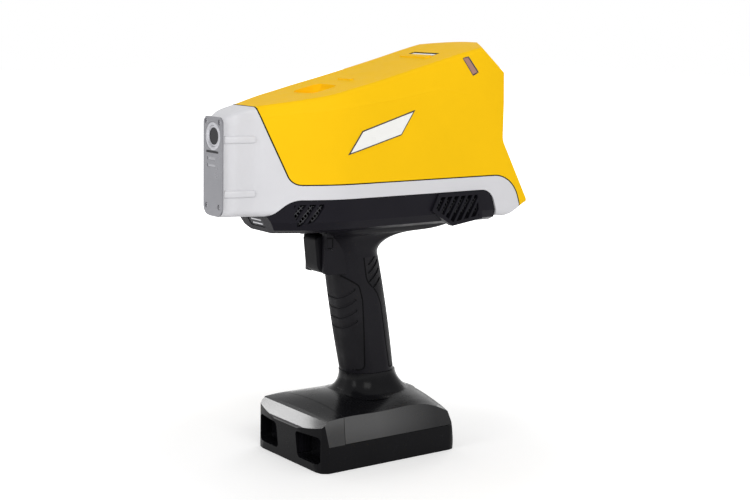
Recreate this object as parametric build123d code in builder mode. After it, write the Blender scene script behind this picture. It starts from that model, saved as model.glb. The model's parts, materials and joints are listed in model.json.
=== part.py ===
"""Handheld XRF analyzer: a pistol-shaped instrument standing on its battery base.

Millimetres, +Z up. The nose points to -X, the display faces +X and the user's left is -Y.
The origin is the middle of the base's underside.
"""
from build123d import *
import math
import os

os.makedirs("parts", exist_ok=True)

# ---------------------------------------------------------------- upper casing
nose_x = -113.5          # front rim of the nose casing
body_half = 40.0         # half width of the belt
nose_half = 12.4         # half width of the nose at its rim
flare_half = 16.8        # half width where the nose starts to flare
flare_start_x = -90.0
flare_end_x = -30.0
shell_wall = 2.4         # casing wall
seam = 0.3               # visible gap between casings
fit_gap = 0.25           # clearance of pieces that drop into an opening
slide_gap = 0.4          # clearance of pieces that travel
roof_line = [(-130, 234), (-92, 244.8), (-47, 252.4), (0, 263.6), (42, 274.6), (86, 286), (140, 287)]
shoulder_line = [(-130, 226), (-92, 237.5), (-47, 243), (6, 250), (41, 255), (95, 246), (140, 240)]
keel_line = [(-130, 174), (-84, 173.4), (70, 173.4), (94, 165.5), (140, 168)]
ridge_inset_line = [(-130, 1.2), (-92, 1.5), (-30, 4.2), (45, 4.2), (75, 2.4), (140, 2.2)]
casing_stations = [-121, -106, -93, -86, -78, -70, -61, -52, -42, -30, -12, 14, 42, 68, 92, 112, 134]

# ---------------------------------------------------------------- parting lines, seen from the side
belt_top_z = 194.4
belt_bottom_z = 184.6
nose_bottom_z = 173.4
cover_parting = [(-93, 330), (-93, 248.2), (-71.3, belt_top_z), (108, belt_top_z), (118.5, 165),
                 (119, 140), (170, 140), (170, 330)]
cover_parting_radii = [0, 5, 9, 24, 0, 0, 0, 0]
belly_parting = [(-110, nose_bottom_z), (-83.2, nose_bottom_z), (-71, belt_bottom_z),
                 (88.8, belt_bottom_z), (97, 160), (97, 130), (-110, 130)]
belly_parting_radii = [0, 4, 16, 12, 0, 0, 0]

# ---------------------------------------------------------------- nose
nose_plate_half = 11.9
nose_plate_low_z = 174.2
nose_plate_top_z = 238.3
plug_width = 17.0        # plug that centres the plate in the casing
plug_height = 57.0
plug_middle_z = 206.0
window_z = 225.7
window_ring_radius = 9.3
window_radius = 5.6
plate_screw_places = [(-8.3, 235.0), (8.3, 235.0), (-8.0, 180.4), (8.0, 180.4)]
plate_screw_radius = 1.7
sensor_slot_z = 215.6
sensor_panel_z = 211.2
sensor_chip_z = 206.6

# ---------------------------------------------------------------- rear face
screen_face_x = 98.0     # upright part that carries the display
screen_foot_z = 219.0    # below it the key field slopes out to the tail
tail_x = 127.5
tail_foot_z = 165.0
bezel_recess = 1.2       # bezel face behind the casing's edge
bezel_depth = 3.0
screen_width = 62.0
screen_height = 40.0
screen_middle_z = 243.0
key_field_z = 192.0      # height of the middle of the key field
key_travel = 0.8
key_proud = 1.2
key_flange = 0.8

# ---------------------------------------------------------------- belly
belly_floor_z = 161.5
belly_front_top_x = -84.6
belly_front_low_x = -77.5
vent_lean = 60           # degrees
vent_slot = 3.4
vent_pitch = 6.0
port_width = 18.0        # cover of the connector port, in the belly's slanting front
fan_middle_x = 58.0
fan_half = 10.6
fan_depth = 9.0
fan_near_y = -29.5
fan_bore = 9.8

# ---------------------------------------------------------------- instrument frame and what it carries
frame_top_z = 188.2
frame_depth = 2.0
tube_angle = -30         # degrees, from the window back into the body
detector_angle = 20
tube_radius = 9.0
tube_nose_radius = 2.6
detector_radius = 6.4
wheel_radius = 9.5
wheel_offset = 7.0       # filter wheel's axle from the tube's axis
board_z = 216.0

# ---------------------------------------------------------------- handle and trigger
grip_depth = 38.0
grip_width = 32.0
grip_corner = 14.4
grip_skin = 1.8          # thickness of the rubber grips
handle_foot_z = 57.0
handle_foot_x = 11.1     # middle of the handle at its foot
handle_lean = -0.1885    # forward shift per millimetre of height
saddle_low_z = 141.0     # where the handle starts to widen into the belly
housing_front_x = -34.4
housing_half = 13.0
housing_low_z = 129.4
trigger_half = 8.3
trigger_pivot_x = -31.0
trigger_pivot_z = 152.5
trigger_pin_radius = 1.5
trigger_back_x = -20.4   # rear wall of the trigger's slot

# ---------------------------------------------------------------- base
base_half = 41.5
base_front_x = -56.5
base_rear_x = 60.5
base_wall_z = 18.2       # top of the upright side wall, where the battery ends
base_edge_z = 36.5       # top of the side band
band_inset = 2.2
dock_seam_x = -35.5      # where the battery's cap meets the dock
rail_half = 30.0
rail_top_z = 31.0
rail_end_x = 44.0
cell_radius = 9.1
cell_length = 65.0
pocket_inner_y = 12.0
pocket_outer_y = 37.6
pocket_low_z = 5.6
pocket_top_z = 24.6
pocket_back_x = -43.5
latch_travel = 2.5


def along(line, x):
    """Value on a line of (x, value) points."""
    for (x0, v0), (x1, v1) in zip(line, line[1:]):
        if x <= x1:
            return v0 + (v1 - v0) * (x - x0) / (x1 - x0)
    return line[-1][1]


def belt_half(x):
    """Half width of the casing at its belt: a slim nose that flares into the body."""
    if x < flare_start_x:
        return nose_half + (flare_half - nose_half) * (x - nose_x) / (flare_start_x - nose_x)
    if x < flare_end_x:
        turn = math.pi / 2 * (x - flare_start_x) / (flare_end_x - flare_start_x)
        return flare_half + (body_half - flare_half) * math.sin(turn)
    return body_half


def rear_x(z):
    """The rear face seen from the side: upright above, sloping out below."""
    if z > screen_foot_z:
        return screen_face_x
    return screen_face_x + (tail_x - screen_face_x) * (screen_foot_z - z) / (screen_foot_z - tail_foot_z)


def handle_x(z):
    return handle_foot_x + handle_lean * (z - handle_foot_z)


def save(part, label):
    part.label = label
    export_step(part, f"parts/{label}.step")


def side_prism(points, half_width, radii=0, grow=0):
    """A prism across the body from a side outline."""
    corner_radii = radii if radii else [0] * len(points)
    with BuildPart() as prism:
        with BuildSketch(Plane.XZ):
            with BuildLine():
                FilletPolyline(*points, radius=corner_radii, close=True)
            make_face()
            if grow:
                offset(amount=grow, kind=Kind.INTERSECTION)
        extrude(amount=half_width, both=True)
    return prism.part


def common(first, second):
    with BuildPart() as shared:
        add(first)
        add(second, mode=Mode.INTERSECT)
    return shared.part


# ================================================================ upper casing
def hood_facets(inset):
    """Blocks that cut the two rear corners of the hood."""
    with BuildPart() as cutters:
        for side in (-1, 1):
            middle = Vector(screen_face_x, side * 8, 286.5)
            outward = Vector(517, side * 410, 620).normalized()
            with BuildSketch(Plane(origin=middle - outward * inset, z_dir=outward)):
                Rectangle(150, 150)
            extrude(amount=60)
    return cutters.part


def casing_form(inset):
    """The upper casing as one solid, drawn in by inset."""
    with BuildPart() as solid:
        for x in casing_stations:
            half = belt_half(x) - inset
            low = along(keel_line, x) + inset
            shoulder = along(shoulder_line, x)
            roof = along(roof_line, x) - inset
            ridge_half = half - along(ridge_inset_line, x)
            points = [(half - 0.5, low), (half - 0.6, shoulder), (ridge_half, roof)]
            mirrored = [(-y, z) for y, z in reversed(points)]
            foot = max(1.2, 5 - inset)
            ridge = max(1.0, 3.2 - inset)
            with BuildSketch(Plane.YZ.offset(x)):
                with BuildLine():
                    FilletPolyline(*points, *mirrored, radius=[foot, 4, ridge, ridge, 4, foot], close=True)
                make_face()
        loft()
        add(hood_facets(inset), mode=Mode.SUBTRACT)
    return solid.part


def casing_shell():
    with BuildPart() as shell:
        add(casing_form(0))
        add(casing_form(shell_wall), mode=Mode.SUBTRACT)
        rear = [(nose_x, 140), (rear_x(140), 140), (tail_x, tail_foot_z + 1.5),
                (screen_face_x, screen_foot_z), (screen_face_x, 320), (nose_x, 320)]
        add(side_prism(rear, body_half + 5, [0, 0, 0, 12, 0, 0]), mode=Mode.INTERSECT)
    return shell.part


shell = casing_shell()


def nose_pads():
    """Two raised pads that run back from the rim on each side of the nose."""
    with BuildPart() as pads:
        with BuildSketch(Plane.XZ):
            with Locations((nose_x + 8.5, 189), (nose_x + 8.5, 224)):
                SlotOverall(19, 4.6)
        extrude(amount=30, both=True)
        with BuildSketch(Plane.YZ.offset(nose_x)):
            with Locations((0, 206)):
                Rectangle(60, 80)
        extrude(amount=30, mode=Mode.INTERSECT)
        add(casing_form(-0.6), mode=Mode.INTERSECT)
        add(casing_form(0.8), mode=Mode.SUBTRACT)
    return pads.part


def nose_casing():
    """Light grey nose, belt and tail: what the cover and the belly leave of the shell."""
    with BuildPart() as casing:
        add(shell)
        add(side_prism(cover_parting, 60, cover_parting_radii, seam / 2), mode=Mode.SUBTRACT)
        add(side_prism(belly_parting, 60, belly_parting_radii, seam / 2), mode=Mode.SUBTRACT)
        add(nose_pads())
        # mouth for the nose plate's plug
        with BuildSketch(Plane.YZ.offset(nose_x - 2)):
            with Locations((0, plug_middle_z)):
                RectangleRounded(plug_width + 2 * fit_gap, plug_height + 2 * fit_gap, 3 + fit_gap)
        extrude(amount=6, mode=Mode.SUBTRACT)
    return casing.part


nose = nose_casing()
save(nose, "nose_casing")



# ================================================================ belly
def belly_form(inset):
    """The belly tray as one solid: upright sides with two bevels down to a flat floor."""
    with BuildPart() as solid:
        for x in casing_stations[3:16]:
            half = belt_half(x) - inset
            points = [(half - 0.8, 192), (half - 1.6, 169.7), (half - 5, 164.2 + inset / 2),
                      (half - 11.5, belly_floor_z + inset)]
            mirrored = [(-y, z) for y, z in reversed(points)]
            with BuildSketch(Plane.YZ.offset(x)):
                with BuildLine():
                    Polyline(*points, *mirrored, close=True)
                make_face()
        loft()
        front = [(-130, 200), (belly_front_top_x + inset, 200), (belly_front_top_x + inset, nose_bottom_z),
                 (belly_front_low_x + inset, belly_floor_z), (belly_front_low_x + inset, 130), (-130, 130)]
        add(side_prism(front, 60), mode=Mode.SUBTRACT)
    return solid.part


front_vent = [(-69.5, 181.2), (-51.0, 181.8), (-51.6, 176.8), (-57.2, 170.2), (-66.5, 166.6), (-69.5, 175)]
rear_vent = [(42.5, 181.6), (75.5, 181.6), (77.5, 166.8), (54.0, 163.6), (38.5, 173.4)]
cowl_face_y = body_half + 0.4


def slotted(outline, first_x, count):
    """A row of leaning slots inside a vent's outline, cut across both sides of the belly."""
    with BuildPart() as slots:
        with BuildSketch(Plane.XZ):
            with Locations(*[(first_x + step * vent_pitch, 173) for step in range(count)]):
                Rectangle(60, vent_slot, rotation=vent_lean)
            with BuildLine():
                Polyline(*outline, close=True)
            make_face(mode=Mode.INTERSECT)
        extrude(amount=60, both=True)
    return slots.part


def vent_cowls():
    """Raised frames with a pointed foot round the two rear vents."""
    with BuildPart() as cowls:
        add(side_prism(rear_vent, cowl_face_y, grow=2.6))
        add(side_prism(rear_vent, cowl_face_y - 4.4, grow=4), mode=Mode.SUBTRACT)
    return cowls.part


def belly_casing():
    with BuildPart() as belly:
        add(belly_form(0))
        add(belly_form(shell_wall), mode=Mode.SUBTRACT)
        add(vent_cowls())
        add(side_prism(belly_parting, 60, belly_parting_radii, -seam / 2), mode=Mode.INTERSECT)
        add(slotted(front_vent, -75, 6), mode=Mode.SUBTRACT)
        add(slotted(rear_vent, 34, 9), mode=Mode.SUBTRACT)
        # opening for the port grille in the slanting front
        with BuildSketch(Plane.YZ.offset(-100)):
            with Locations((0, 168.2)):
                RectangleRounded(port_width, 6.6, 1.5)
        extrude(amount=28, mode=Mode.SUBTRACT)
        # posts for the instrument frame
        with BuildSketch(Plane.XY.offset(belly_floor_z + shell_wall / 2)):
            with Locations((-42, -20), (-42, 20), (82, -20), (82, 20)):
                Circle(4)
        extrude(amount=frame_top_z - frame_depth - belly_floor_z - shell_wall / 2)
    return belly.part


belly = belly_casing()
save(belly, "belly_casing")


# ================================================================ handle
def grip_section(z, inset, wider=0, deeper=0, shift=0):
    with BuildSketch(Plane.XY.offset(z)) as section:
        with Locations((handle_x(z) + shift, 0)):
            RectangleRounded(grip_depth + deeper - 2 * inset, grip_width + wider - 2 * inset, grip_corner - inset)
    return section.sketch


def handle_form(inset):
    """The straight grip as one solid of leaning rounded sections."""
    with BuildPart() as solid:
        add(grip_section(handle_foot_z, inset))
        add(grip_section(96, inset, 0.8, 1.6))
        add(grip_section(saddle_low_z, inset))
        loft()
    return solid.part


def saddle():
    """The head of the handle, widening into the belly's floor."""
    with BuildPart() as head:
        add(grip_section(saddle_low_z, 0))
        add(grip_section(saddle_low_z + 6, 0, 1, 3.6, 0.9))
        add(grip_section(saddle_low_z + 11, 0, 4, 13, 4.2))
        add(grip_section(saddle_low_z + 15.5, 0, 10, 38, 14.5))
        add(grip_section(belly_floor_z, 0, 20, 72, 28))
        loft()
    return head.part


front_grip_edge = [(-60, 59.5), (-0.8, 59.5), (-5, 110), (-8, 120.5), (-21.6, 129.3), (-60, 129.3)]
front_grip_radii = [0, 3, 12, 5, 0, 0]
rear_grip_edge = [(60, 59.5), (20, 59.5), (16, 78.4), (10.9, 106.5), (7, 114.9), (-1.8, 123.6), (-4.4, 139.8),
                  (60, 139.8)]
rear_grip_radii = [0, 2, 20, 20, 12, 10, 2, 0]
groove_lean = 42         # degrees
groove_width = 1.8
groove_depth = 0.9


def grooves(places, length):
    """Leaning grooves let into the skin of the grip."""
    with BuildPart() as cutters:
        with BuildSketch(Plane.XZ):
            with Locations(*places):
                SlotOverall(length, groove_width, rotation=groove_lean)
        extrude(amount=40, both=True)
        add(handle_form(groove_depth), mode=Mode.SUBTRACT)
    return cutters.part


def rubber_grip(edge, radii, groove_places, groove_length):
    """A rubber skin laid into the handle inside a side outline, with its grooves."""
    with BuildPart() as rubber:
        add(handle_form(0))
        add(handle_form(grip_skin), mode=Mode.SUBTRACT)
        add(side_prism(edge, 60, radii), mode=Mode.INTERSECT)
        add(grooves(groove_places, groove_length), mode=Mode.SUBTRACT)
    return rubber.part


def trigger_housing():
    """The block in front of the handle that the trigger sits in, with its pivot caps."""
    with BuildPart() as housing:
        with BuildSketch(Plane.XY.offset(housing_low_z)):
            with Locations((housing_front_x + 15, 0)):
                RectangleRounded(30, 2 * housing_half, 2.5)
        extrude(amount=belly_floor_z - housing_low_z)
        outline = [(housing_front_x, housing_low_z), (-12, housing_low_z), (-12, 180), (housing_front_x, 180)]
        add(side_prism(outline, 60, [3, 3, 0, 0]), mode=Mode.INTERSECT)
        with BuildSketch(Plane.XZ):
            with Locations((trigger_pivot_x - 0.4, trigger_pivot_z + 1)):
                RectangleRounded(5.6, 13, 2.4)
        extrude(amount=housing_half + 0.9, both=True)
    return housing.part


def trigger_slot():
    """Room for the trigger and its swing."""
    points = [(-70, housing_low_z - 6), (trigger_back_x, housing_low_z - 6), (trigger_back_x, trigger_pivot_z + 5),
              (-70, trigger_pivot_z + 5)]
    return side_prism(points, trigger_half + slide_gap, [0, 0, 4, 0])


def grip_room(edge, radii):
    """What the handle gives up for a rubber skin."""
    with BuildPart() as room:
        add(handle_form(-2))
        add(handle_form(grip_skin), mode=Mode.SUBTRACT)
        add(side_prism(edge, 60, radii), mode=Mode.INTERSECT)
    return room.part


def handle_core():
    with BuildPart() as core:
        add(handle_form(0))
        add(saddle())
        add(trigger_housing())
        add(grip_room(front_grip_edge, front_grip_radii), mode=Mode.SUBTRACT)
        add(grip_room(rear_grip_edge, rear_grip_radii), mode=Mode.SUBTRACT)
        add(trigger_slot(), mode=Mode.SUBTRACT)
        # bore for the trigger's pin, blind behind the pivot caps
        with BuildSketch(Plane.XZ):
            with Locations((trigger_pivot_x, trigger_pivot_z)):
                Circle(trigger_pin_radius)
        extrude(amount=housing_half - 1, both=True, mode=Mode.SUBTRACT)
        # pocket for the trigger switch
        with BuildSketch(Plane.YZ.offset(trigger_back_x - 1)):
            with Locations((0, 136)):
                Rectangle(8, 10)
        extrude(amount=9, mode=Mode.SUBTRACT)
    return core.part


core = handle_core()
save(core, "handle_core")
front_grip = rubber_grip(front_grip_edge, front_grip_radii, [(-17, 113), (-16, 105.5), (-15, 98), (-14, 90.5)], 17)
save(front_grip, "front_grip")
rear_grip = rubber_grip(rear_grip_edge, rear_grip_radii, [(5, 127), (4, 133), (6, 120.5), (4, 139)], 13)
save(rear_grip, "rear_grip")


# ================================================================ trigger
def trigger_blade():
    outline = [(-39.4, 156), (-37.6, 141), (-37, 135.5), (-35.2, 131.6), (-31, 129.6), (-25, 129.6), (-24, 133),
               (-26.5, 156)]
    with BuildPart() as blade:
        add(side_prism(outline, trigger_half, [3, 30, 8, 6, 3, 2, 3, 3]))
        fillet(blade.edges().filter_by(Axis.Y, reverse=True).group_by(Axis.Y)[0], 1.6)
        fillet(blade.edges().filter_by(Axis.Y, reverse=True).group_by(Axis.Y)[-1], 1.6)
        with BuildSketch(Plane.XZ):
            with Locations((trigger_pivot_x, trigger_pivot_z)):
                Circle(trigger_pin_radius + seam)
        extrude(amount=20, both=True, mode=Mode.SUBTRACT)
        # pocket for the return spring, open at the back
        with BuildSketch(Plane.XZ):
            with Locations((trigger_pivot_x, trigger_pivot_z)):
                Circle(3.1)
            with Locations((trigger_pivot_x + 6, trigger_pivot_z - 1)):
                Rectangle(12, 4.2)
        extrude(amount=3.4, both=True, mode=Mode.SUBTRACT)
    return blade.part


save(trigger_blade(), "trigger")

with BuildPart() as trigger_pin:
    with BuildSketch(Plane.XZ):
        with Locations((trigger_pivot_x, trigger_pivot_z)):
            Circle(trigger_pin_radius)
    extrude(amount=housing_half - 1, both=True)
save(trigger_pin.part, "trigger_pin")

with BuildPart() as trigger_spring:
    with BuildSketch(Plane.XZ):
        with Locations((trigger_pivot_x, trigger_pivot_z)):
            Circle(2.4)
            Circle(trigger_pin_radius, mode=Mode.SUBTRACT)
    extrude(amount=2.8, both=True)
    # the spring's tail reaches back to the wall of the slot
    with BuildSketch(Plane.XZ):
        with Locations(((trigger_pivot_x + 2 + trigger_back_x) / 2, trigger_pivot_z - 1.6)):
            Rectangle(trigger_back_x - trigger_pivot_x - 2, 0.8)
    extrude(amount=0.5, both=True)
save(trigger_spring.part, "trigger_spring")

with BuildPart() as trigger_switch:
    with BuildSketch(Plane.YZ.offset(trigger_back_x + 0.2)):
        with Locations((0, 136)):
            Rectangle(8, 10)
    extrude(amount=7.8)
    with BuildSketch(Plane.YZ.offset(trigger_back_x - 0.7)):
        with Locations((0, 136)):
            Circle(1.6)
    extrude(amount=2)
save(trigger_switch.part, "trigger_switch")


# ================================================================ base
base_stations = [(-60, 36.0, 36.8), (-47, 36.0, 37.3), (-12, 36.5, 43), (20, 37.2, 45), (40, 34.5, 44),
                 (52, 29.4, 38.5), (62, 24.5, 31)]


def base_form():
    """The whole foot: upright walls, an inset band and an arched top that falls away at the back."""
    with BuildPart() as solid:
        for x, edge_z, crown_z in base_stations:
            band = base_half - band_inset * (edge_z - base_wall_z) / (base_edge_z - base_wall_z)
            with BuildSketch(Plane.YZ.offset(x)):
                with BuildLine():
                    Polyline((-band, edge_z), (-base_half, base_wall_z), (-base_half, -2), (base_half, -2),
                             (base_half, base_wall_z), (band, edge_z))
                    ThreePointArc((band, edge_z), (0, crown_z), (-band, edge_z))
                make_face()
        loft(ruled=False)
        with BuildSketch():
            with BuildLine():
                Polyline((-48.5, base_half), (70, base_half), (70, -base_half), (-48.5, -base_half), (-52.8, -38.5))
                ThreePointArc((-52.8, -38.5), (base_front_x - 1, 0), (-52.8, 38.5))
                Line((-52.8, 38.5), (-48.5, base_half))
            make_face()
        extrude(amount=80, mode=Mode.INTERSECT)
        front = [(-80, -3), (-53.7, -3), (-57, 27.5), (-47.5, 36.7), (-47.5, 80), (-80, 80)]
        rear = [(80, -3), (59, -3), (base_rear_x, 5), (57.5, 19), (53, 31), (41, 44.5), (41, 80), (80, 80)]
        add(side_prism(front, 60, [0, 0, 3, 6, 0, 0]), mode=Mode.SUBTRACT)
        add(side_prism(rear, 60, [0, 0, 3, 30, 12, 0, 0, 0]), mode=Mode.SUBTRACT)
        with BuildSketch(Plane.XY.offset(-1)):
            with Locations((0, 0)):
                RectangleRounded(2 * base_rear_x + 6, 2 * base_half, 9)
        extrude(amount=90, mode=Mode.INTERSECT)
    return solid.part


foot = base_form()


def rail(grow):
    """The battery's tongue, with a groove down each side for the dock's ribs."""
    with BuildPart() as tongue:
        with BuildSketch(Plane.YZ.offset(dock_seam_x - 4)):
            with Locations((0, (base_wall_z - 3 + rail_top_z + grow) / 2)):
                Rectangle(2 * (rail_half + grow), rail_top_z + grow - base_wall_z + 3)
            for side in (-1, 1):
                with Locations((side * (rail_half + grow - 1.7), rail_top_z - 3.5)):
                    Rectangle(3.4, 3 - 2 * grow, mode=Mode.SUBTRACT)
        extrude(amount=rail_end_x + grow - dock_seam_x + 4)
    return tongue.part


def neck():
    """The dock's socket that the handle stands in."""
    with BuildPart() as socket:
        for z, depth, width, corner in ((41, 66, 54, 24), (44.5, 51, 42, 18), (50, 42.5, 36, 15.5),
                                        (handle_foot_z, 39.4, 33.4, 14.6)):
            with BuildSketch(Plane.XY.offset(z)):
                with Locations((handle_x(z) + 0.4, 0)):
                    RectangleRounded(depth, width, corner)
        loft()
    return socket.part


with BuildPart() as base_dock:
    add(foot)
    with BuildSketch(Plane.XZ):
        with Locations(((dock_seam_x + seam + 70) / 2, 60)):
            Rectangle(70 - dock_seam_x - seam, 2 * (60 - base_wall_z - seam))
    extrude(amount=60, both=True, mode=Mode.INTERSECT)
    add(neck())
    add(rail(slide_gap), mode=Mode.SUBTRACT)
    # room for the contact block in the channel's ceiling
    with BuildSketch(Plane.XY.offset(rail_top_z)):
        with Locations((39.5, 0)):
            Rectangle(7, 28)
    extrude(amount=4, mode=Mode.SUBTRACT)
save(base_dock.part, "base_dock")

contact_places = [(39.5, y) for y in (-9, -3, 3, 9)]
with BuildPart() as dock_contacts:
    with BuildSketch(Plane.XY.offset(rail_top_z + 1)):
        with Locations((39.5, 0)):
            Rectangle(7, 28)
    extrude(amount=3)
    with BuildSketch(Plane.XY.offset(rail_top_z + 0.5)):
        with Locations(*contact_places):
            Rectangle(5, 3)
    extrude(amount=1)
save(dock_contacts.part, "dock_contacts")

with BuildPart() as battery_terminals:
    with BuildSketch(Plane.XY.offset(rail_top_z - 1.6)):
        with Locations((39.5, 0)):
            Rectangle(7, 24)
    extrude(amount=1.2)
    with BuildSketch(Plane.XY.offset(rail_top_z - 1)):
        with Locations(*contact_places):
            Rectangle(6, 4)
    extrude(amount=1)
save(battery_terminals.part, "battery_terminals")

cell_middle_z = 18.0
cell_places = [-19.0, 0.0, 19.0]
cell_start_x = -33.0
latch_inner_y = 8.0
latch_outer_y = 11.3
latch_middle_x = -47.5
latch_length = 11.0
latch_height = 14.0
pocket_middle_z = (pocket_low_z + pocket_top_z) / 2


def cell_room(grow):
    with BuildSketch(Plane.YZ.offset(cell_start_x)) as section:
        with Locations((0, cell_middle_z)):
            RectangleRounded(2 * (cell_places[-1] + cell_radius + grow), 2 * (cell_radius + grow),
                             cell_radius + grow - 0.05)
    return section.sketch


with BuildPart() as battery_case:
    add(foot)
    with BuildSketch(Plane.XZ):
        with Locations((0, base_wall_z / 2 - 10)):
            Rectangle(160, base_wall_z + 20)
        with Locations(((-80 + dock_seam_x) / 2, 20)):
            Rectangle(80 + dock_seam_x, 90)
    extrude(amount=60, both=True, mode=Mode.INTERSECT)
    add(rail(0))
    extrude(cell_room(0.1), amount=73, mode=Mode.SUBTRACT)
    with BuildSketch(Plane.XY.offset(rail_top_z - 1.6)):
        with Locations((39.5, 0)):
            Rectangle(7, 24)
    extrude(amount=4, mode=Mode.SUBTRACT)
    # the two pockets in the front, with the latches' recesses in the pillar between them
    with BuildSketch(Plane.YZ.offset(-70)):
        for side in (-1, 1):
            with Locations((side * (pocket_inner_y + pocket_outer_y) / 2, pocket_middle_z)):
                RectangleRounded(pocket_outer_y - pocket_inner_y, pocket_top_z - pocket_low_z, 3.2)
    extrude(amount=70 + pocket_back_x, mode=Mode.SUBTRACT)
    with BuildSketch(Plane.XY.offset(pocket_middle_z - latch_height / 2 - seam)):
        for side in (-1, 1):
            with Locations((latch_middle_x, side * (5 + pocket_inner_y + 1) / 2)):
                Rectangle(latch_length + 2 * seam, pocket_inner_y + 1 - 5)
    extrude(amount=latch_height + 2 * seam, mode=Mode.SUBTRACT)
save(battery_case.part, "battery_case")

for label, y in zip(("left_cell", "middle_cell", "right_cell"), cell_places):
    with BuildPart() as cell:
        with BuildSketch(Plane.YZ.offset(cell_start_x)):
            with Locations((y, cell_middle_z)):
                Circle(cell_radius)
        extrude(amount=cell_length - 1)
        with BuildSketch(Plane.YZ.offset(cell_start_x + cell_length - 1)):
            with Locations((y, cell_middle_z)):
                Circle(2.9)
        extrude(amount=1)
    save(cell.part, label)

with BuildPart() as battery_board:
    extrude(cell_room(0), amount=1.6)
    with BuildSketch(Plane.YZ.offset(cell_start_x + 1.6)):
        with Locations((-12, cell_middle_z), (8, cell_middle_z + 2)):
            Rectangle(7, 7)
    extrude(amount=1.2)
save(Pos(cell_length, 0, 0) * battery_board.part, "battery_board")

with BuildPart() as left_latch:
    with BuildSketch(Plane.XY.offset(pocket_middle_z - latch_height / 2)):
        with Locations((latch_middle_x, -(latch_inner_y + latch_outer_y) / 2)):
            Rectangle(latch_length, latch_outer_y - latch_inner_y)
        # finger ribs
        with Locations(*[(latch_middle_x + step * 2.6, -latch_outer_y) for step in (-1, 0, 1)]):
            Rectangle(1, 0.9)
    extrude(amount=latch_height)
save(left_latch.part, "left_latch")
save(mirror(left_latch.part, about=Plane.XZ), "right_latch")


# ================================================================ nose pieces
def nose_slot(y, z, width, height, corner, depth):
    """A rounded block let into the nose plate's front face."""
    with BuildPart() as block:
        with BuildSketch(Plane.YZ.offset(nose_plate_front_x + 0.3)):
            with Locations((y, z)):
                RectangleRounded(width, height, corner)
        extrude(amount=depth)
    return block.part


nose_plate_front_x = nose_x - 1.1
nose_plate_low = nose_plate_low_z + 0.1
sensor_slot = nose_slot(0.5, sensor_slot_z, 15.4, 1.5, 0.7, 1.2)
upper_sensor = nose_slot(1.8, sensor_panel_z, 10.6, 2.6, 0.6, 1.4)
lower_sensor = nose_slot(1.8, sensor_chip_z, 10.6, 2.4, 0.6, 1.4)

with BuildPart() as nose_plate:
    with BuildSketch(Plane.YZ.offset(nose_plate_front_x)):
        with BuildLine():
            FilletPolyline((-nose_plate_half, nose_plate_low), (nose_plate_half, nose_plate_low),
                           (nose_plate_half, nose_plate_top_z - 3), (nose_plate_half - 3, nose_plate_top_z),
                           (3 - nose_plate_half, nose_plate_top_z), (-nose_plate_half, nose_plate_top_z - 3),
                           radius=[6, 6, 2, 2, 2, 2], close=True)
        make_face()
    extrude(amount=1.1)
    # the plug that centres the plate in the casing
    with BuildSketch(Plane.YZ.offset(nose_plate_front_x)):
        with Locations((0, plug_middle_z)):
            RectangleRounded(plug_width, plug_height, 3)
    extrude(amount=4)
    # window bore, wide at the front for the ring
    with BuildSketch(Plane.YZ.offset(nose_plate_front_x - 1)):
        with Locations((0, window_z)):
            Circle(window_radius + 0.9)
    extrude(amount=8, mode=Mode.SUBTRACT)
    with BuildSketch(Plane.YZ.offset(nose_plate_front_x - 1)):
        with Locations((0, window_z)):
            Circle(window_ring_radius - 1.3)
    extrude(amount=3.6, mode=Mode.SUBTRACT)
    with BuildSketch(Plane.YZ.offset(nose_plate_front_x - 1)):
        with Locations((0, window_z)):
            Circle(window_ring_radius)
    extrude(amount=1.8, mode=Mode.SUBTRACT)
    for slot in (sensor_slot, upper_sensor, lower_sensor):
        add(slot, mode=Mode.SUBTRACT)
    with BuildSketch(Plane.YZ.offset(nose_plate_front_x)):
        with Locations((0.5, sensor_slot_z)):
            SlotOverall(15.4, 1.5)
        with Locations((1.8, sensor_panel_z), (1.8, sensor_chip_z)):
            Rectangle(10, 2)
    extrude(amount=0.3, mode=Mode.SUBTRACT)
    # countersunk screw holes
    with BuildSketch(Plane.YZ.offset(nose_plate_front_x)):
        with Locations(*plate_screw_places):
            Circle(1.0)
    extrude(amount=8, mode=Mode.SUBTRACT)
    with BuildSketch(Plane.YZ.offset(nose_plate_front_x)):
        with Locations(*plate_screw_places):
            Circle(plate_screw_radius)
    extrude(amount=0.8, mode=Mode.SUBTRACT)
save(nose_plate.part, "nose_plate")
save(sensor_slot, "sensor_slot")
save(upper_sensor, "upper_sensor")
save(lower_sensor, "lower_sensor")

with BuildPart() as window_ring:
    with BuildSketch(Plane.YZ.offset(nose_plate_front_x)):
        with Locations((0, window_z)):
            Circle(window_ring_radius)
    extrude(amount=0.8)
    with BuildSketch(Plane.YZ.offset(nose_plate_front_x)):
        with Locations((0, window_z)):
            Circle(window_ring_radius - 1.3)
    extrude(amount=2.6)
    fillet(window_ring.edges().filter_by(GeomType.CIRCLE).group_by(Axis.X)[0], 0.5)
    with BuildSketch(Plane.YZ.offset(nose_plate_front_x - 1)):
        with Locations((0, window_z)):
            Circle(window_radius)
    extrude(amount=8, mode=Mode.SUBTRACT)
    with BuildSketch(Plane.YZ.offset(nose_plate_front_x)):
        with Locations((0, window_z)):
            Circle(window_radius + 1.6)
    extrude(amount=0.9, taper=35, mode=Mode.SUBTRACT)
save(window_ring.part, "window_ring")

with BuildPart() as window_film:
    with BuildSketch(Plane.YZ.offset(nose_plate_front_x + 1.2)):
        with Locations((0, window_z)):
            Circle(window_radius)
    extrude(amount=0.3)
save(window_film.part, "window_film")

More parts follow.
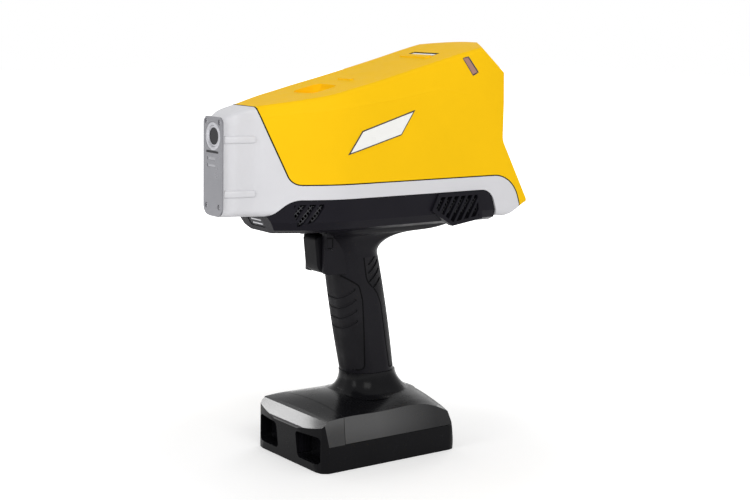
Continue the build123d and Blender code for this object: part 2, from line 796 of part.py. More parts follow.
with BuildPart() as port_grille:
    add(belly_form(0.5))
    add(belly_form(shell_wall + 0.2), mode=Mode.SUBTRACT)
    with BuildSketch(Plane.YZ.offset(-100)):
        with Locations((0, 168.2)):
            RectangleRounded(port_width - 2 * seam, 6.6 - 2 * seam, 1.3)
    extrude(amount=30, mode=Mode.INTERSECT)
    with BuildSketch(Plane.YZ.offset(-100)):
        with Locations((0, 166.9), (0, 169.6)):
            SlotOverall(port_width - 4, 1.2)
    extrude(amount=30, mode=Mode.SUBTRACT)
save(port_grille.part, "port_grille")


# ================================================================ lights
shoulder_light = [(61.3, 276.3), (65.9, 277.3), (74.3, 266.8), (69.7, 264.7)]


def light_lens(outline_cut, depth):
    """A lens set flush in the casing, inside a cutter."""
    with BuildPart() as lens:
        add(casing_form(0.35))
        add(casing_form(0.35 + depth), mode=Mode.SUBTRACT)
        add(outline_cut, mode=Mode.INTERSECT)
    return lens.part


def shoulder_block(side, grow):
    with BuildPart() as block:
        with BuildSketch(Plane.XZ.offset(-side * 20)):
            with BuildLine():
                FilletPolyline(*shoulder_light, radius=1, close=True)
            make_face()
            offset(amount=grow, kind=Kind.INTERSECTION)
        extrude(amount=-side * 30)
    return block.part


def roof_block(grow):
    with BuildPart() as block:
        with BuildSketch(Plane.XY.offset(240)):
            with Locations((55.6, 0)):
                RectangleRounded(5.2 + 2 * grow, 28 + 2 * grow, 1.6 + grow)
        extrude(amount=60)
    return block.part


save(light_lens(shoulder_block(-1, 0), 2), "left_light")
save(light_lens(shoulder_block(1, 0), 2), "right_light")
save(light_lens(roof_block(0), 2), "roof_light")


scoop_side = [(-60, 252.2), (-27, 251.4), (-25, 254.5), (-24.4, 275), (-60, 275)]


def scoop(grow):
    """The sunken pocket in the roof, rounded in plan and rising forwards into the roof."""
    with BuildPart() as hollow:
        add(side_prism(scoop_side, 13 + grow, [0, 2, 2, 0, 0], grow))
        with BuildSketch(Plane.XY.offset(240)):
            with Locations((-36, 0)):
                RectangleRounded(24 + 2 * grow, 26 + 2 * grow, 8 + grow)
        extrude(amount=40, mode=Mode.INTERSECT)
    return hollow.part


def roof_ribs():
    """A small raised rib behind the scoop, and the lip in front of the roof light."""
    with BuildPart() as ribs:
        with BuildSketch(Plane.XY.offset(254)):
            with Locations((-11, 0)):
                RectangleRounded(3.4, 16, 1.6)
            with Locations((48.5, 0)):
                RectangleRounded(5, 32, 2.4)
        extrude(amount=50)
        add(casing_form(-0.9), mode=Mode.INTERSECT)
    return ribs.part


with BuildPart() as top_cover:
    add(shell)
    add(common(scoop(2), casing_form(0.2)))
    add(roof_ribs())
    add(side_prism(cover_parting, 60, cover_parting_radii, -seam / 2), mode=Mode.INTERSECT)
    add(scoop(0), mode=Mode.SUBTRACT)
    add(shoulder_block(-1, seam / 2), mode=Mode.SUBTRACT)
    add(shoulder_block(1, seam / 2), mode=Mode.SUBTRACT)
    add(roof_block(seam / 2), mode=Mode.SUBTRACT)
save(top_cover.part, "top_cover")


# ================================================================ rear face
slope_x = tail_x - screen_face_x
slope_z = screen_foot_z - tail_foot_z
slope_length = math.hypot(slope_x, slope_z)
slope_cos = slope_z / slope_length
bezel_slope_depth = bezel_depth * slope_cos


def rear_band(near, far):
    """The zone between two copies of the rear face, near and far being their setbacks along X."""
    with BuildPart() as band:
        for setback, mode in ((near, Mode.ADD), (far, Mode.SUBTRACT)):
            rear = [(20, 150), (rear_x(150) - setback, 150), (screen_face_x - setback, screen_foot_z),
                    (screen_face_x - setback, 320), (20, 320)]
            add(side_prism(rear, 70, [0, 0, 12, 0, 0]), mode=mode)
    return band.part


def key_plane(height):
    """A plane on the key field, its X to the user's right and its Y up the slope."""
    middle = Vector(rear_x(key_field_z) - bezel_recess, 0, key_field_z)
    outward = Vector(slope_z, 0, slope_x).normalized()
    return Plane(origin=middle + outward * height, x_dir=(0, 1, 0), z_dir=outward)


key_shapes = {
    "power_key": (-22, -13, 11, 7, 2.4),
    "back_key": (22, -13, 11, 7, 2.4),
    "home_key": (-22, 13, 11, 7, 2.4),
    "menu_key": (22, 13, 11, 7, 2.4),
    "up_key": (0, 11.5, 11, 6, 2.2),
    "down_key": (0, -11.5, 11, 6, 2.2),
    "left_key": (-11.5, 0, 6, 11, 2.2),
    "right_key": (11.5, 0, 6, 11, 2.2),
    "centre_key": (0, 0, 11, 11, 5.4),
}

with BuildPart() as rear_bezel:
    add(casing_form(shell_wall + fit_gap))
    add(rear_band(bezel_recess, bezel_recess + bezel_depth), mode=Mode.INTERSECT)
    # opening for the display glass
    with BuildSketch(Plane.YZ.offset(80)):
        with Locations((0, screen_middle_z)):
            RectangleRounded(screen_width, screen_height, 3)
    extrude(amount=30, mode=Mode.SUBTRACT)
    with BuildSketch(key_plane(-8)):
        for x, y, width, height, corner in key_shapes.values():
            with Locations((x, y)):
                RectangleRounded(width + 2 * slide_gap, height + 2 * slide_gap, corner + slide_gap)
    extrude(amount=16, mode=Mode.SUBTRACT)
save(rear_bezel.part, "rear_bezel")

glass_back_x = screen_face_x - bezel_recess - bezel_depth
with BuildPart() as display_glass:
    with BuildSketch(Plane.YZ.offset(glass_back_x)):
        with Locations((0, screen_middle_z)):
            RectangleRounded(screen_width - 2 * fit_gap, screen_height - 2 * fit_gap, 3 - fit_gap)
    extrude(amount=bezel_depth - 0.2)
save(display_glass.part, "display_glass")

with BuildPart() as display_module:
    with BuildSketch(Plane.YZ.offset(glass_back_x)):
        with Locations((0, screen_middle_z)):
            Rectangle(screen_width + 3, screen_height + 1)
    extrude(amount=-4.5)
save(display_module.part, "display_module")

for label, (x, y, width, height, corner) in key_shapes.items():
    with BuildPart() as key:
        with BuildSketch(key_plane(-bezel_slope_depth - seam - key_flange)):
            with Locations((x, y)):
                RectangleRounded(width + 1.6, height + 1.6, min(corner + 0.8, 6))
        extrude(amount=key_flange)
        with BuildSketch(key_plane(-bezel_slope_depth - seam - key_flange)):
            with Locations((x, y)):
                RectangleRounded(width, height, corner)
        extrude(amount=key_flange + seam + bezel_slope_depth + key_proud)
        top = key_plane(0)
        fillet(key.faces().sort_by(Axis(top.origin, top.z_dir))[-1].edges(), 0.6)
    save(key.part, label)

board_height = -bezel_slope_depth - seam - key_flange - key_travel - 0.3
with BuildPart() as keypad_board:
    with BuildSketch(key_plane(board_height - 1.6)):
        RectangleRounded(60, 38, 2)
    extrude(amount=1.6)
    with BuildSketch(key_plane(board_height)):
        with Locations((-24, 0), (24, 0), (-11, -16), (11, -16), (-11, 16), (11, 16)):
            Circle(1.8)
    extrude(amount=-board_height - bezel_slope_depth)
save(keypad_board.part, "keypad_board")


# ================================================================ inside the casing
def beam_plane(distance, angle, drop=0):
    """A plane across a line that leaves the window at an angle, at a distance along it."""
    lean = math.radians(angle)
    forward = Vector(math.cos(lean), 0, math.sin(lean))
    below = Vector(math.sin(lean), 0, -math.cos(lean))
    window = Vector(nose_plate_front_x + 2.4, 0, window_z)
    return Plane(origin=window + forward * distance + below * drop, x_dir=(0, 1, 0), z_dir=forward)


def rod(plane, radius, length):
    with BuildPart() as cylinder:
        with BuildSketch(plane):
            Circle(radius)
        extrude(amount=length)
    return cylinder.part


frame_posts = [(-42, -20), (-42, 20), (82, -20), (82, 20)]
board_posts = [(-44, -25), (-44, 25), (74, -25), (74, 25)]
with BuildPart() as instrument_frame:
    with BuildSketch(Plane.XY.offset(frame_top_z - frame_depth)):
        with Locations((3, 0)):
            Rectangle(170, 90)
    extrude(amount=frame_depth)
    add(casing_form(shell_wall + 0.6), mode=Mode.INTERSECT)
    with BuildSketch(Plane.XY.offset(frame_top_z)):
        with Locations(*board_posts):
            Circle(3)
    extrude(amount=board_z - frame_top_z)
save(instrument_frame.part, "instrument_frame")

with BuildPart() as xray_tube:
    add(rod(beam_plane(18, tube_angle), tube_nose_radius, 8))
    add(rod(beam_plane(24, tube_angle), tube_radius, 32))
save(xray_tube.part, "xray_tube")

with BuildPart() as detector:
    add(rod(beam_plane(12, detector_angle), 4.2, 3))
    add(rod(beam_plane(14, detector_angle), detector_radius, 20))
save(detector.part, "detector")

filter_places = [(5.8 * math.cos(math.radians(60 * turn)), 5.8 * math.sin(math.radians(60 * turn)))
                 for turn in range(6)]
with BuildPart() as filter_wheel:
    add(rod(beam_plane(15.4, tube_angle, wheel_offset), wheel_radius, 1.2))
    with BuildSketch(beam_plane(15, tube_angle, wheel_offset)):
        with Locations(*filter_places):
            Circle(2.1)
        Circle(1 + seam)
    extrude(amount=3, mode=Mode.SUBTRACT)
save(filter_wheel.part, "filter_wheel")

with BuildPart() as filter_motor:
    add(rod(beam_plane(17.0, tube_angle, wheel_offset), 4.0, 6.6))
    add(rod(beam_plane(14.6, tube_angle, wheel_offset), 1.0, 4))
    add(rod(beam_plane(14.6, tube_angle, wheel_offset), 2.0, 0.5))
save(filter_motor.part, "filter_motor")

with BuildPart() as source_mount:
    block = [(-96.5, 214.5), (-93.5, 222), (-93, 236), (-80, 240.5), (-66, 222), (-58, frame_top_z),
             (-82, frame_top_z), (-101, 201.5)]
    add(side_prism(block, 12, [0, 2, 2, 4, 6, 0, 0, 2]))
    add(rod(beam_plane(24, tube_angle), tube_radius, 40), mode=Mode.SUBTRACT)
    add(rod(beam_plane(10, tube_angle), tube_nose_radius, 20), mode=Mode.SUBTRACT)
    add(rod(beam_plane(10, detector_angle), detector_radius, 24), mode=Mode.SUBTRACT)
    add(rod(beam_plane(10, tube_angle, wheel_offset), 4.0, 13.6), mode=Mode.SUBTRACT)
    add(rod(beam_plane(12, tube_angle, wheel_offset), wheel_radius + 0.8, 5), mode=Mode.SUBTRACT)
save(source_mount.part, "source_mount")

with BuildPart() as hv_supply:
    with BuildSketch(Plane.XY.offset(frame_top_z)):
        with Locations((-26, 0)):
            RectangleRounded(48, 32, 2)
    extrude(amount=24)
save(hv_supply.part, "hv_supply")

with BuildPart() as main_board:
    with BuildSketch(Plane.XY.offset(board_z)):
        with Locations((15, 0)):
            Rectangle(126, 58)
    extrude(amount=1.6)
    with BuildSketch(Plane.XY.offset(board_z + 1.6)):
        with Locations((-20, 8), (10, -10), (42, 6)):
            Rectangle(16, 16)
        with Locations((-38, -14), (62, -16)):
            Rectangle(10, 14)
    extrude(amount=2)
save(main_board.part, "main_board")

with BuildPart() as heat_sink:
    with BuildSketch(Plane.XY.offset(frame_top_z)):
        with Locations((30, 0)):
            Rectangle(44, 34)
    extrude(amount=2)
    with BuildSketch(Plane.XY.offset(frame_top_z + 2)):
        with Locations(*[(30, step * 4) for step in range(-4, 5)]):
            Rectangle(44, 1.2)
    extrude(amount=12)
save(heat_sink.part, "heat_sink")

fan_middle_z = frame_top_z - frame_depth - fan_half
fan_far_y = fan_near_y + fan_depth


def fan_plane(y):
    return Plane(origin=(fan_middle_x, y, fan_middle_z), x_dir=(1, 0, 0), z_dir=(0, 1, 0))


with BuildPart() as fan_frame:
    with BuildSketch(fan_plane(fan_near_y)):
        RectangleRounded(2 * fan_half, 2 * fan_half, 1.5)
        Circle(fan_bore, mode=Mode.SUBTRACT)
    extrude(amount=fan_depth)
    # the motor's seat on three arms at the far side
    with BuildSketch(fan_plane(fan_far_y - 1)):
        Circle(4)
        with PolarLocations(7, 3, 90):
            Rectangle(7, 1.4)
    extrude(amount=1)
    with BuildSketch(fan_plane(fan_near_y + 2)):
        Circle(1)
    extrude(amount=fan_depth - 2.5)
save(fan_frame.part, "fan_frame")

with BuildPart() as fan_rotor:
    with BuildSketch(fan_plane(fan_near_y + 1)):
        Circle(4)
    extrude(amount=fan_depth - 2.4)
    with Locations(fan_plane(fan_near_y + 4.4)):
        with PolarLocations(6.3, 7):
            Box(5.8, 6, 0.8, rotation=(40, 0, 0))
    with BuildSketch(fan_plane(fan_near_y + 1.7)):
        Circle(1 + seam)
    extrude(amount=fan_depth, mode=Mode.SUBTRACT)
save(fan_rotor.part, "fan_rotor")
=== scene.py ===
import json
import math
import bmesh
import bpy
from mathutils import Matrix, Vector
from mathutils.bvhtree import BVHTree

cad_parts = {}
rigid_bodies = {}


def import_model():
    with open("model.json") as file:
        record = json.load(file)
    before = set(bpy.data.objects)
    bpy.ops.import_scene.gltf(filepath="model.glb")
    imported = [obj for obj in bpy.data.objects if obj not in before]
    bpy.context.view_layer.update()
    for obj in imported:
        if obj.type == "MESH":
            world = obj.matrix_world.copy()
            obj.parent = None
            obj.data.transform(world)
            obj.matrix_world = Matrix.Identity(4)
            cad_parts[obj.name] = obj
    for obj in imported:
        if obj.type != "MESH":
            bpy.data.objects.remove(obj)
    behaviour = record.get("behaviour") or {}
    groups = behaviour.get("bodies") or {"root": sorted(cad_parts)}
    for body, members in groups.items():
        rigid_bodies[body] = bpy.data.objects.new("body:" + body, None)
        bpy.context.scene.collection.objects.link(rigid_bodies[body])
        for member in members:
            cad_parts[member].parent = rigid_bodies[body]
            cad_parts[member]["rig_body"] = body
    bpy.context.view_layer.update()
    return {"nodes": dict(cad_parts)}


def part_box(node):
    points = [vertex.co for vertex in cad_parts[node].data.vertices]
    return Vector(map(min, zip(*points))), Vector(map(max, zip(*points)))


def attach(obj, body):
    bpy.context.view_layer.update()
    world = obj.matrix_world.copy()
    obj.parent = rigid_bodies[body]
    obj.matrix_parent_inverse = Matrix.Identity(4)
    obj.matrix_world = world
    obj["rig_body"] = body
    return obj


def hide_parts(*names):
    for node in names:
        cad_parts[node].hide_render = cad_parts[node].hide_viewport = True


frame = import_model()
nodes = frame["nodes"]
mm = 0.001
print("frame loaded:", len(nodes), "nodes")


# ---- small helpers

def inScene(name, data):
    thing = bpy.data.objects.new(name, data)
    bpy.context.scene.collection.objects.link(thing)
    return thing


def dress(piece, material):
    piece.data.materials.clear()
    piece.data.materials.append(material)


def linkNew(name, mesh, body, material):
    piece = inScene(name, mesh)
    dress(piece, material)
    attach(piece, body)


def applied(piece):
    return bpy.data.meshes.new_from_object(piece.evaluated_get(bpy.context.evaluated_depsgraph_get()))


def meshFrom(name, points, faces, smooth=False):
    mesh = bpy.data.meshes.new(name)
    mesh.from_pydata([Vector(p) * mm for p in points], [], faces)
    bm = bmesh.new()
    bm.from_mesh(mesh)
    bmesh.ops.recalc_face_normals(bm, faces=bm.faces)
    for face in bm.faces:
        face.smooth = smooth
    bm.to_mesh(mesh)
    bm.free()
    return mesh


def shellTree(names):
    bm = bmesh.new()
    for name in names:
        bm.from_mesh(nodes[name].data)
    tree = BVHTree.FromBMesh(bm)
    bm.free()
    return tree


def castOn(tree, start, way):
    # the place in mm where a ray from start meets the pieces, and the way their face looks
    hit, facing = tree.ray_cast(Vector(start) * mm, Vector(way))[:2]
    return (None if hit is None else hit / mm), facing


# ---- camera, light and floor

shot = {"focalPixels": 1460.48, "imageWidth": 750, "sensorWidth": 36, "azimuth": -36.52, "elevation": 9.141,
        "roll": 1.158, "place": (-587.07, -815.54, 304.52), "near": 0.01, "far": 50}


def placeCamera():
    a, e, r = (math.radians(shot[key]) for key in ("azimuth", "elevation", "roll"))
    back = Vector((math.sin(a) * math.cos(e), -math.cos(a) * math.cos(e), math.sin(e)))
    right = (-back).cross(Vector((0, 0, 1))).normalized()
    up = right.cross(-back)
    right, up = (right * math.cos(r) + up * math.sin(r), up * math.cos(r) - right * math.sin(r))
    lens = bpy.data.cameras.new("camera")
    lens.sensor_width = shot["sensorWidth"]
    lens.sensor_fit = "HORIZONTAL"
    lens.lens = shot["focalPixels"] * shot["sensorWidth"] / shot["imageWidth"]
    lens.clip_start, lens.clip_end = shot["near"], shot["far"]
    camera = inScene("camera", lens)
    turn = Matrix((right, up, back)).transposed().to_4x4()
    turn.translation = Vector(shot["place"]) * mm
    camera.matrix_world = turn
    bpy.context.scene.camera = camera


lampSettings = {  # place, aimed at, width, height, watts, colour
    "keyBox": ((-0.35, -1.35, 0.85), (0, 0, 0.17), 0.9, 0.7, 8.5, (1.0, 0.99, 0.97)),
    "frontBox": ((-1.35, -0.1, 0.55), (-0.05, 0, 0.15), 0.4, 0.8, 3.3, (1.0, 1.0, 1.0)),
    "glintBox": ((-0.415, 1.157, 0.77), (-0.05, 0.02, 0.03), 0.07, 0.12, 0.2, (1.0, 1.0, 1.0)),
    "roofBox": ((0.1, 0.35, 1.4), (0, 0, 0.2), 1.0, 0.7, 0.8, (1.0, 1.0, 1.0)),
    "rearBox": ((1.2, 0.7, 0.7), (0, 0, 0.17), 0.6, 0.8, 3.0, (1.0, 1.0, 1.0)),
}


def placeLamps():
    for name, (place, aim, width, height, watts, colour) in lampSettings.items():
        lamp = bpy.data.lights.new(name, "AREA")
        lamp.shape = "RECTANGLE"
        lamp.size = width
        lamp.size_y = height
        lamp.energy = watts
        lamp.color = colour
        holder = inScene(name, lamp)
        holder.location = place
        holder.rotation_euler = (Vector(place) - Vector(aim)).to_track_quat("Z", "Y").to_euler()


def seenDirectly(tree):
    # 1 for what the camera, a mirror or a glass sees, 0 for light that falls on the pieces
    rays = tree.nodes.new("ShaderNodeLightPath")
    seen = rays.outputs["Is Camera Ray"]
    for label in ("Is Glossy Ray", "Is Transmission Ray"):
        either = tree.nodes.new("ShaderNodeMath")
        either.operation = "MAXIMUM"
        tree.links.new(seen, either.inputs[0])
        tree.links.new(rays.outputs[label], either.inputs[1])
        seen = either.outputs[0]
    return seen


worldLight = {"soft": 0.55, "white": 1.0}  # what lights the pieces, what the camera sees


def buildWorld():
    world = bpy.data.worlds.new("studio")
    bpy.context.scene.world = world
    world.use_nodes = True
    tree = world.node_tree
    tree.nodes.clear()
    seen = seenDirectly(tree)
    mix = tree.nodes.new("ShaderNodeMixShader")
    tree.links.new(seen, mix.inputs["Fac"])
    for index, light in enumerate(("soft", "white")):
        sky = tree.nodes.new("ShaderNodeBackground")
        sky.inputs["Color"].default_value = (1, 1, 1, 1)
        sky.inputs["Strength"].default_value = worldLight[light]
        tree.links.new(sky.outputs[0], mix.inputs[index + 1])
    out = tree.nodes.new("ShaderNodeOutputWorld")
    tree.links.new(mix.outputs[0], out.inputs["Surface"])


# painted shade: the camera-seen glow is lower near the analyzer, so the floor round it renders darker;
# further out the glow gives an even white backdrop
floorPlan = {"half": 6.0, "colour": (0.86, 0.86, 0.86, 1),  # the glow fades in away from the analyzer
             "fade": {"From Min": 0.12, "From Max": 0.4, "To Min": 0.31, "To Max": 1.1}}


def layFloor():
    half = floorPlan["half"]
    mesh = bpy.data.meshes.new("floor")
    corners = [(-half, -half, 0), (half, -half, 0), (half, half, 0), (-half, half, 0)]
    mesh.from_pydata(corners, [], [(0, 1, 2, 3)])
    floor = inScene("floor", mesh)
    paper = bpy.data.materials.new("floorPaper")
    paper.use_nodes = True
    tree = paper.node_tree
    tree.nodes.clear()
    diffuse = tree.nodes.new("ShaderNodeBsdfDiffuse")
    diffuse.inputs["Color"].default_value = floorPlan["colour"]
    glow = tree.nodes.new("ShaderNodeEmission")
    seen = seenDirectly(tree)
    where = tree.nodes.new("ShaderNodeTexCoord")
    reach = tree.nodes.new("ShaderNodeVectorMath")
    reach.operation = "LENGTH"
    tree.links.new(where.outputs["Object"], reach.inputs[0])
    fade = tree.nodes.new("ShaderNodeMapRange")
    fade.interpolation_type = "SMOOTHSTEP"
    for label, value in floorPlan["fade"].items():
        fade.inputs[label].default_value = value
    tree.links.new(reach.outputs["Value"], fade.inputs["Value"])
    lift = tree.nodes.new("ShaderNodeMath")
    lift.operation = "MULTIPLY"
    tree.links.new(seen, lift.inputs[0])
    tree.links.new(fade.outputs["Result"], lift.inputs[1])
    tree.links.new(lift.outputs[0], glow.inputs["Strength"])
    both = tree.nodes.new("ShaderNodeAddShader")
    tree.links.new(diffuse.outputs[0], both.inputs[0])
    tree.links.new(glow.outputs[0], both.inputs[1])
    out = tree.nodes.new("ShaderNodeOutputMaterial")
    tree.links.new(both.outputs[0], out.inputs["Surface"])
    floor.data.materials.append(paper)


placeCamera()
placeLamps()
buildWorld()
layFloor()
bpy.context.scene.view_settings.view_transform = "Standard"
print("camera, lamps and floor placed")


# ---- node groups, built once

def newGroup(name, inputs, outputs, kind="ShaderNodeTree"):
    group = bpy.data.node_groups.new(name, kind)
    for label, kind, value in inputs:
        socket = group.interface.new_socket(label, in_out="INPUT", socket_type="NodeSocket" + kind)
        if value is not None:
            socket.default_value = value
    for label, kind in outputs:
        group.interface.new_socket(label, in_out="OUTPUT", socket_type="NodeSocket" + kind)
    return group, group.nodes.new("NodeGroupInput"), group.nodes.new("NodeGroupOutput")


def noise(tree, vector, scale, detail=3.0, rough=0.55):
    node = tree.nodes.new("ShaderNodeTexNoise")
    node.inputs["Detail"].default_value = detail
    node.inputs["Roughness"].default_value = rough
    if isinstance(scale, (int, float)):
        node.inputs["Scale"].default_value = scale
    else:
        tree.links.new(scale, node.inputs["Scale"])
    tree.links.new(vector, node.inputs["Vector"])
    return node.outputs["Fac"]


def calc(tree, operation, a, b, clamp=False):
    node = tree.nodes.new("ShaderNodeMath")
    node.operation = operation
    node.use_clamp = clamp
    for socket, value in zip(node.inputs, (a, b)):
        if isinstance(value, (int, float)):
            socket.default_value = value
        else:
            tree.links.new(value, socket)
    return node.outputs[0]


def spread(tree, value, low, high, newLow, newHigh):
    node = tree.nodes.new("ShaderNodeMapRange")
    for label, number in (("From Min", low), ("From Max", high), ("To Min", newLow), ("To Max", newHigh)):
        if isinstance(number, (int, float)):
            node.inputs[label].default_value = number
        else:
            tree.links.new(number, node.inputs[label])
    tree.links.new(value, node.inputs["Value"])
    return node.outputs["Result"]


def scaled(tree, colour, factor):
    node = tree.nodes.new("ShaderNodeVectorMath")
    node.operation = "SCALE"
    tree.links.new(colour, node.inputs[0])
    tree.links.new(factor, node.inputs["Scale"])
    return node.outputs[0]


def mouldedGroup():
    # moulded plastic: faint flow patches, fine grain and a few rubbed places
    group, start, end = newGroup("mouldedSkin", [
        ("Vector", "Vector", None), ("Color", "Color", (0.8, 0.8, 0.8, 1)), ("Mottle", "Float", 0.05),
        ("Roughness", "Float", 0.4), ("Rubbing", "Float", 0.1), ("Grain Scale", "Float", 1800.0),
        ("Grain Depth", "Float", 0.5)], [("Color", "Color"), ("Roughness", "Float"), ("Height", "Float")])
    vector = start.outputs["Vector"]
    patches = noise(group, vector, scale=22.0, detail=4.0)
    rubs = noise(group, vector, scale=95.0, detail=6.0, rough=0.7)
    grain = noise(group, vector, scale=start.outputs["Grain Scale"], detail=2.0)
    low = calc(group, "SUBTRACT", 1.0, start.outputs["Mottle"])
    high = calc(group, "ADD", 1.0, start.outputs["Mottle"])
    tone = spread(group, patches, 0.3, 0.7, low, high)
    group.links.new(scaled(group, start.outputs["Color"], tone), end.inputs["Color"])
    rubbed = calc(group, "MULTIPLY", spread(group, rubs, 0.35, 0.65, -0.5, 0.5), start.outputs["Rubbing"])
    group.links.new(calc(group, "ADD", start.outputs["Roughness"], rubbed, True), end.inputs["Roughness"])
    waves = calc(group, "MULTIPLY", patches, 0.2)
    group.links.new(calc(group, "ADD", calc(group, "MULTIPLY", grain, start.outputs["Grain Depth"]), waves),
                    end.inputs["Height"])
    return group


def brushedGroup():
    # brushed or turned metal: streaks drawn out along one axis
    group, start, end = newGroup("brushedMetal", [
        ("Vector", "Vector", None), ("Color", "Color", (0.6, 0.6, 0.6, 1)), ("Streaks", "Float", 0.2),
        ("Roughness", "Float", 0.3), ("Streak Scale", "Float", 900.0)],
        [("Color", "Color"), ("Roughness", "Float"), ("Height", "Float")])
    drawn = noise(group, start.outputs["Vector"], scale=start.outputs["Streak Scale"], detail=4.0, rough=0.65)
    stains = noise(group, start.outputs["Vector"], scale=60.0, detail=4.0)
    low = calc(group, "SUBTRACT", 1.0, start.outputs["Streaks"])
    tone = spread(group, drawn, 0.25, 0.75, low, 1.0)
    group.links.new(scaled(group, start.outputs["Color"], tone), end.inputs["Color"])
    dulled = calc(group, "MULTIPLY", stains, start.outputs["Streaks"])
    rough = calc(group, "ADD", start.outputs["Roughness"], dulled)
    group.links.new(rough, end.inputs["Roughness"])
    group.links.new(drawn, end.inputs["Height"])
    return group


def rubberGroup():
    # soft rubber: a close net of pips with worn, smoother patches
    group, start, end = newGroup("pippedRubber", [
        ("Vector", "Vector", None), ("Color", "Color", (0.02, 0.02, 0.02, 1)), ("Pip Scale", "Float", 900.0),
        ("Roughness", "Float", 0.6), ("Wear", "Float", 0.2)],
        [("Color", "Color"), ("Roughness", "Float"), ("Height", "Float")])
    cells = group.nodes.new("ShaderNodeTexVoronoi")
    group.links.new(start.outputs["Vector"], cells.inputs["Vector"])
    group.links.new(start.outputs["Pip Scale"], cells.inputs["Scale"])
    pips = spread(group, cells.outputs["Distance"], 0.0, 0.6, 1.0, 0.0)
    worn = noise(group, start.outputs["Vector"], scale=34.0, detail=5.0, rough=0.6)
    tone = spread(group, worn, 0.35, 0.7, 0.8, 1.35)
    group.links.new(scaled(group, start.outputs["Color"], tone), end.inputs["Color"])
    drop = calc(group, "MULTIPLY", spread(group, worn, 0.4, 0.7, 0.0, 1.0), start.outputs["Wear"])
    group.links.new(calc(group, "SUBTRACT", start.outputs["Roughness"], drop, True), end.inputs["Roughness"])
    group.links.new(pips, end.inputs["Height"])
    return group


def polishGroup():
    # painted reflection: the clear coat's weight is set by facing, full on leaning bands and chamfers, faint
    # on the neck, none on upright walls and level tops, placing the lamps' reflections on the bands alone
    group, start, end = newGroup("polishedBands", [
        ("Position", "Vector", None), ("Normal", "Vector", None), ("Least Lean", "Float", 0.06),
        ("Most Lean", "Float", 0.84), ("Neck Height", "Float", 0.038), ("Neck Shine", "Float", 0.03),
        ("Middle Shine", "Float", 0.9), ("Back Fall", "Float", -15.0), ("Least Shine", "Float", 0.25)],
        [("Weight", "Float")])
    lean = group.nodes.new("ShaderNodeSeparateXYZ")
    place = group.nodes.new("ShaderNodeSeparateXYZ")
    group.links.new(start.outputs["Normal"], lean.inputs[0])
    group.links.new(start.outputs["Position"], place.inputs[0])
    leaning = calc(group, "GREATER_THAN", lean.outputs["Z"], start.outputs["Least Lean"])
    neck = calc(group, "GREATER_THAN", place.outputs["Z"], start.outputs["Neck Height"])
    flatter = calc(group, "LESS_THAN", lean.outputs["Z"], start.outputs["Most Lean"])
    bands = calc(group, "MULTIPLY", leaning, calc(group, "SUBTRACT", 1.0, neck))
    satin = calc(group, "MULTIPLY", neck, start.outputs["Neck Shine"])
    bright = calc(group, "MULTIPLY", calc(group, "ADD", bands, satin), flatter)
    # painted shade: the coat's weight falls off towards the back, dimming the reflections there
    fall = calc(group, "MULTIPLY", place.outputs["X"], start.outputs["Back Fall"])
    fall = calc(group, "MINIMUM", calc(group, "ADD", fall, start.outputs["Middle Shine"]), 1.0)
    fall = calc(group, "MAXIMUM", fall, start.outputs["Least Shine"])
    group.links.new(calc(group, "MULTIPLY", bright, fall), end.inputs["Weight"])
    return group


moulded, brushed, pipped, polished = mouldedGroup(), brushedGroup(), rubberGroup(), polishGroup()
reliefDepth = 0.0002  # in metres


def makeMaterial(name, group, values, metallic=0.0, coat=0.0, coatRoughness=0.1, bump=0.1, stretch=None,
                 specular=0.5, polish=False):
    material = bpy.data.materials.new(name)
    material.use_nodes = True
    tree = material.node_tree
    shader = tree.nodes["Principled BSDF"]
    shader.inputs["Metallic"].default_value = metallic
    shader.inputs["Coat Weight"].default_value = coat
    shader.inputs["Coat Roughness"].default_value = coatRoughness
    shader.inputs["Specular IOR Level"].default_value = specular
    where = tree.nodes.new("ShaderNodeTexCoord").outputs["Object"]
    if stretch:
        mapping = tree.nodes.new("ShaderNodeMapping")
        mapping.inputs["Scale"].default_value = stretch
        tree.links.new(where, mapping.inputs["Vector"])
        where = mapping.outputs["Vector"]
    skin = tree.nodes.new("ShaderNodeGroup")
    skin.node_tree = group
    tree.links.new(where, skin.inputs["Vector"])
    for label, value in values.items():
        skin.inputs[label].default_value = (*value, 1) if isinstance(value, tuple) else value
    tree.links.new(skin.outputs["Color"], shader.inputs["Base Color"])
    tree.links.new(skin.outputs["Roughness"], shader.inputs["Roughness"])
    # painted reflection: the coat weight comes from the facing and position mask
    if polish:
        facing = tree.nodes.new("ShaderNodeNewGeometry")
        bands = tree.nodes.new("ShaderNodeGroup")
        bands.node_tree = polished
        tree.links.new(where, bands.inputs["Position"])
        tree.links.new(facing.outputs["True Normal"], bands.inputs["Normal"])
        tree.links.new(bands.outputs["Weight"], shader.inputs["Coat Weight"])
    relief = tree.nodes.new("ShaderNodeBump")
    relief.inputs["Strength"].default_value = bump
    relief.inputs["Distance"].default_value = reliefDepth
    tree.links.new(skin.outputs["Height"], relief.inputs["Height"])
    tree.links.new(relief.outputs["Normal"], shader.inputs["Normal"])
    return material


def mouldedLook(name, colour, mottle, roughness, rubbing, grainScale, grainDepth, **finish):
    return makeMaterial(name, moulded, {
        "Color": colour, "Mottle": mottle, "Roughness": roughness, "Rubbing": rubbing,
        "Grain Scale": grainScale, "Grain Depth": grainDepth}, **finish)


def metalLook(name, colour, streaks, roughness, streakScale, **finish):
    return makeMaterial(name, brushed, {
        "Color": colour, "Streaks": streaks, "Roughness": roughness, "Streak Scale": streakScale},
        metallic=1.0, **finish)


def rubberLook(name, colour, pipScale, roughness, wear, **finish):
    return makeMaterial(name, pipped, {
        "Color": colour, "Pip Scale": pipScale, "Roughness": roughness, "Wear": wear}, **finish)


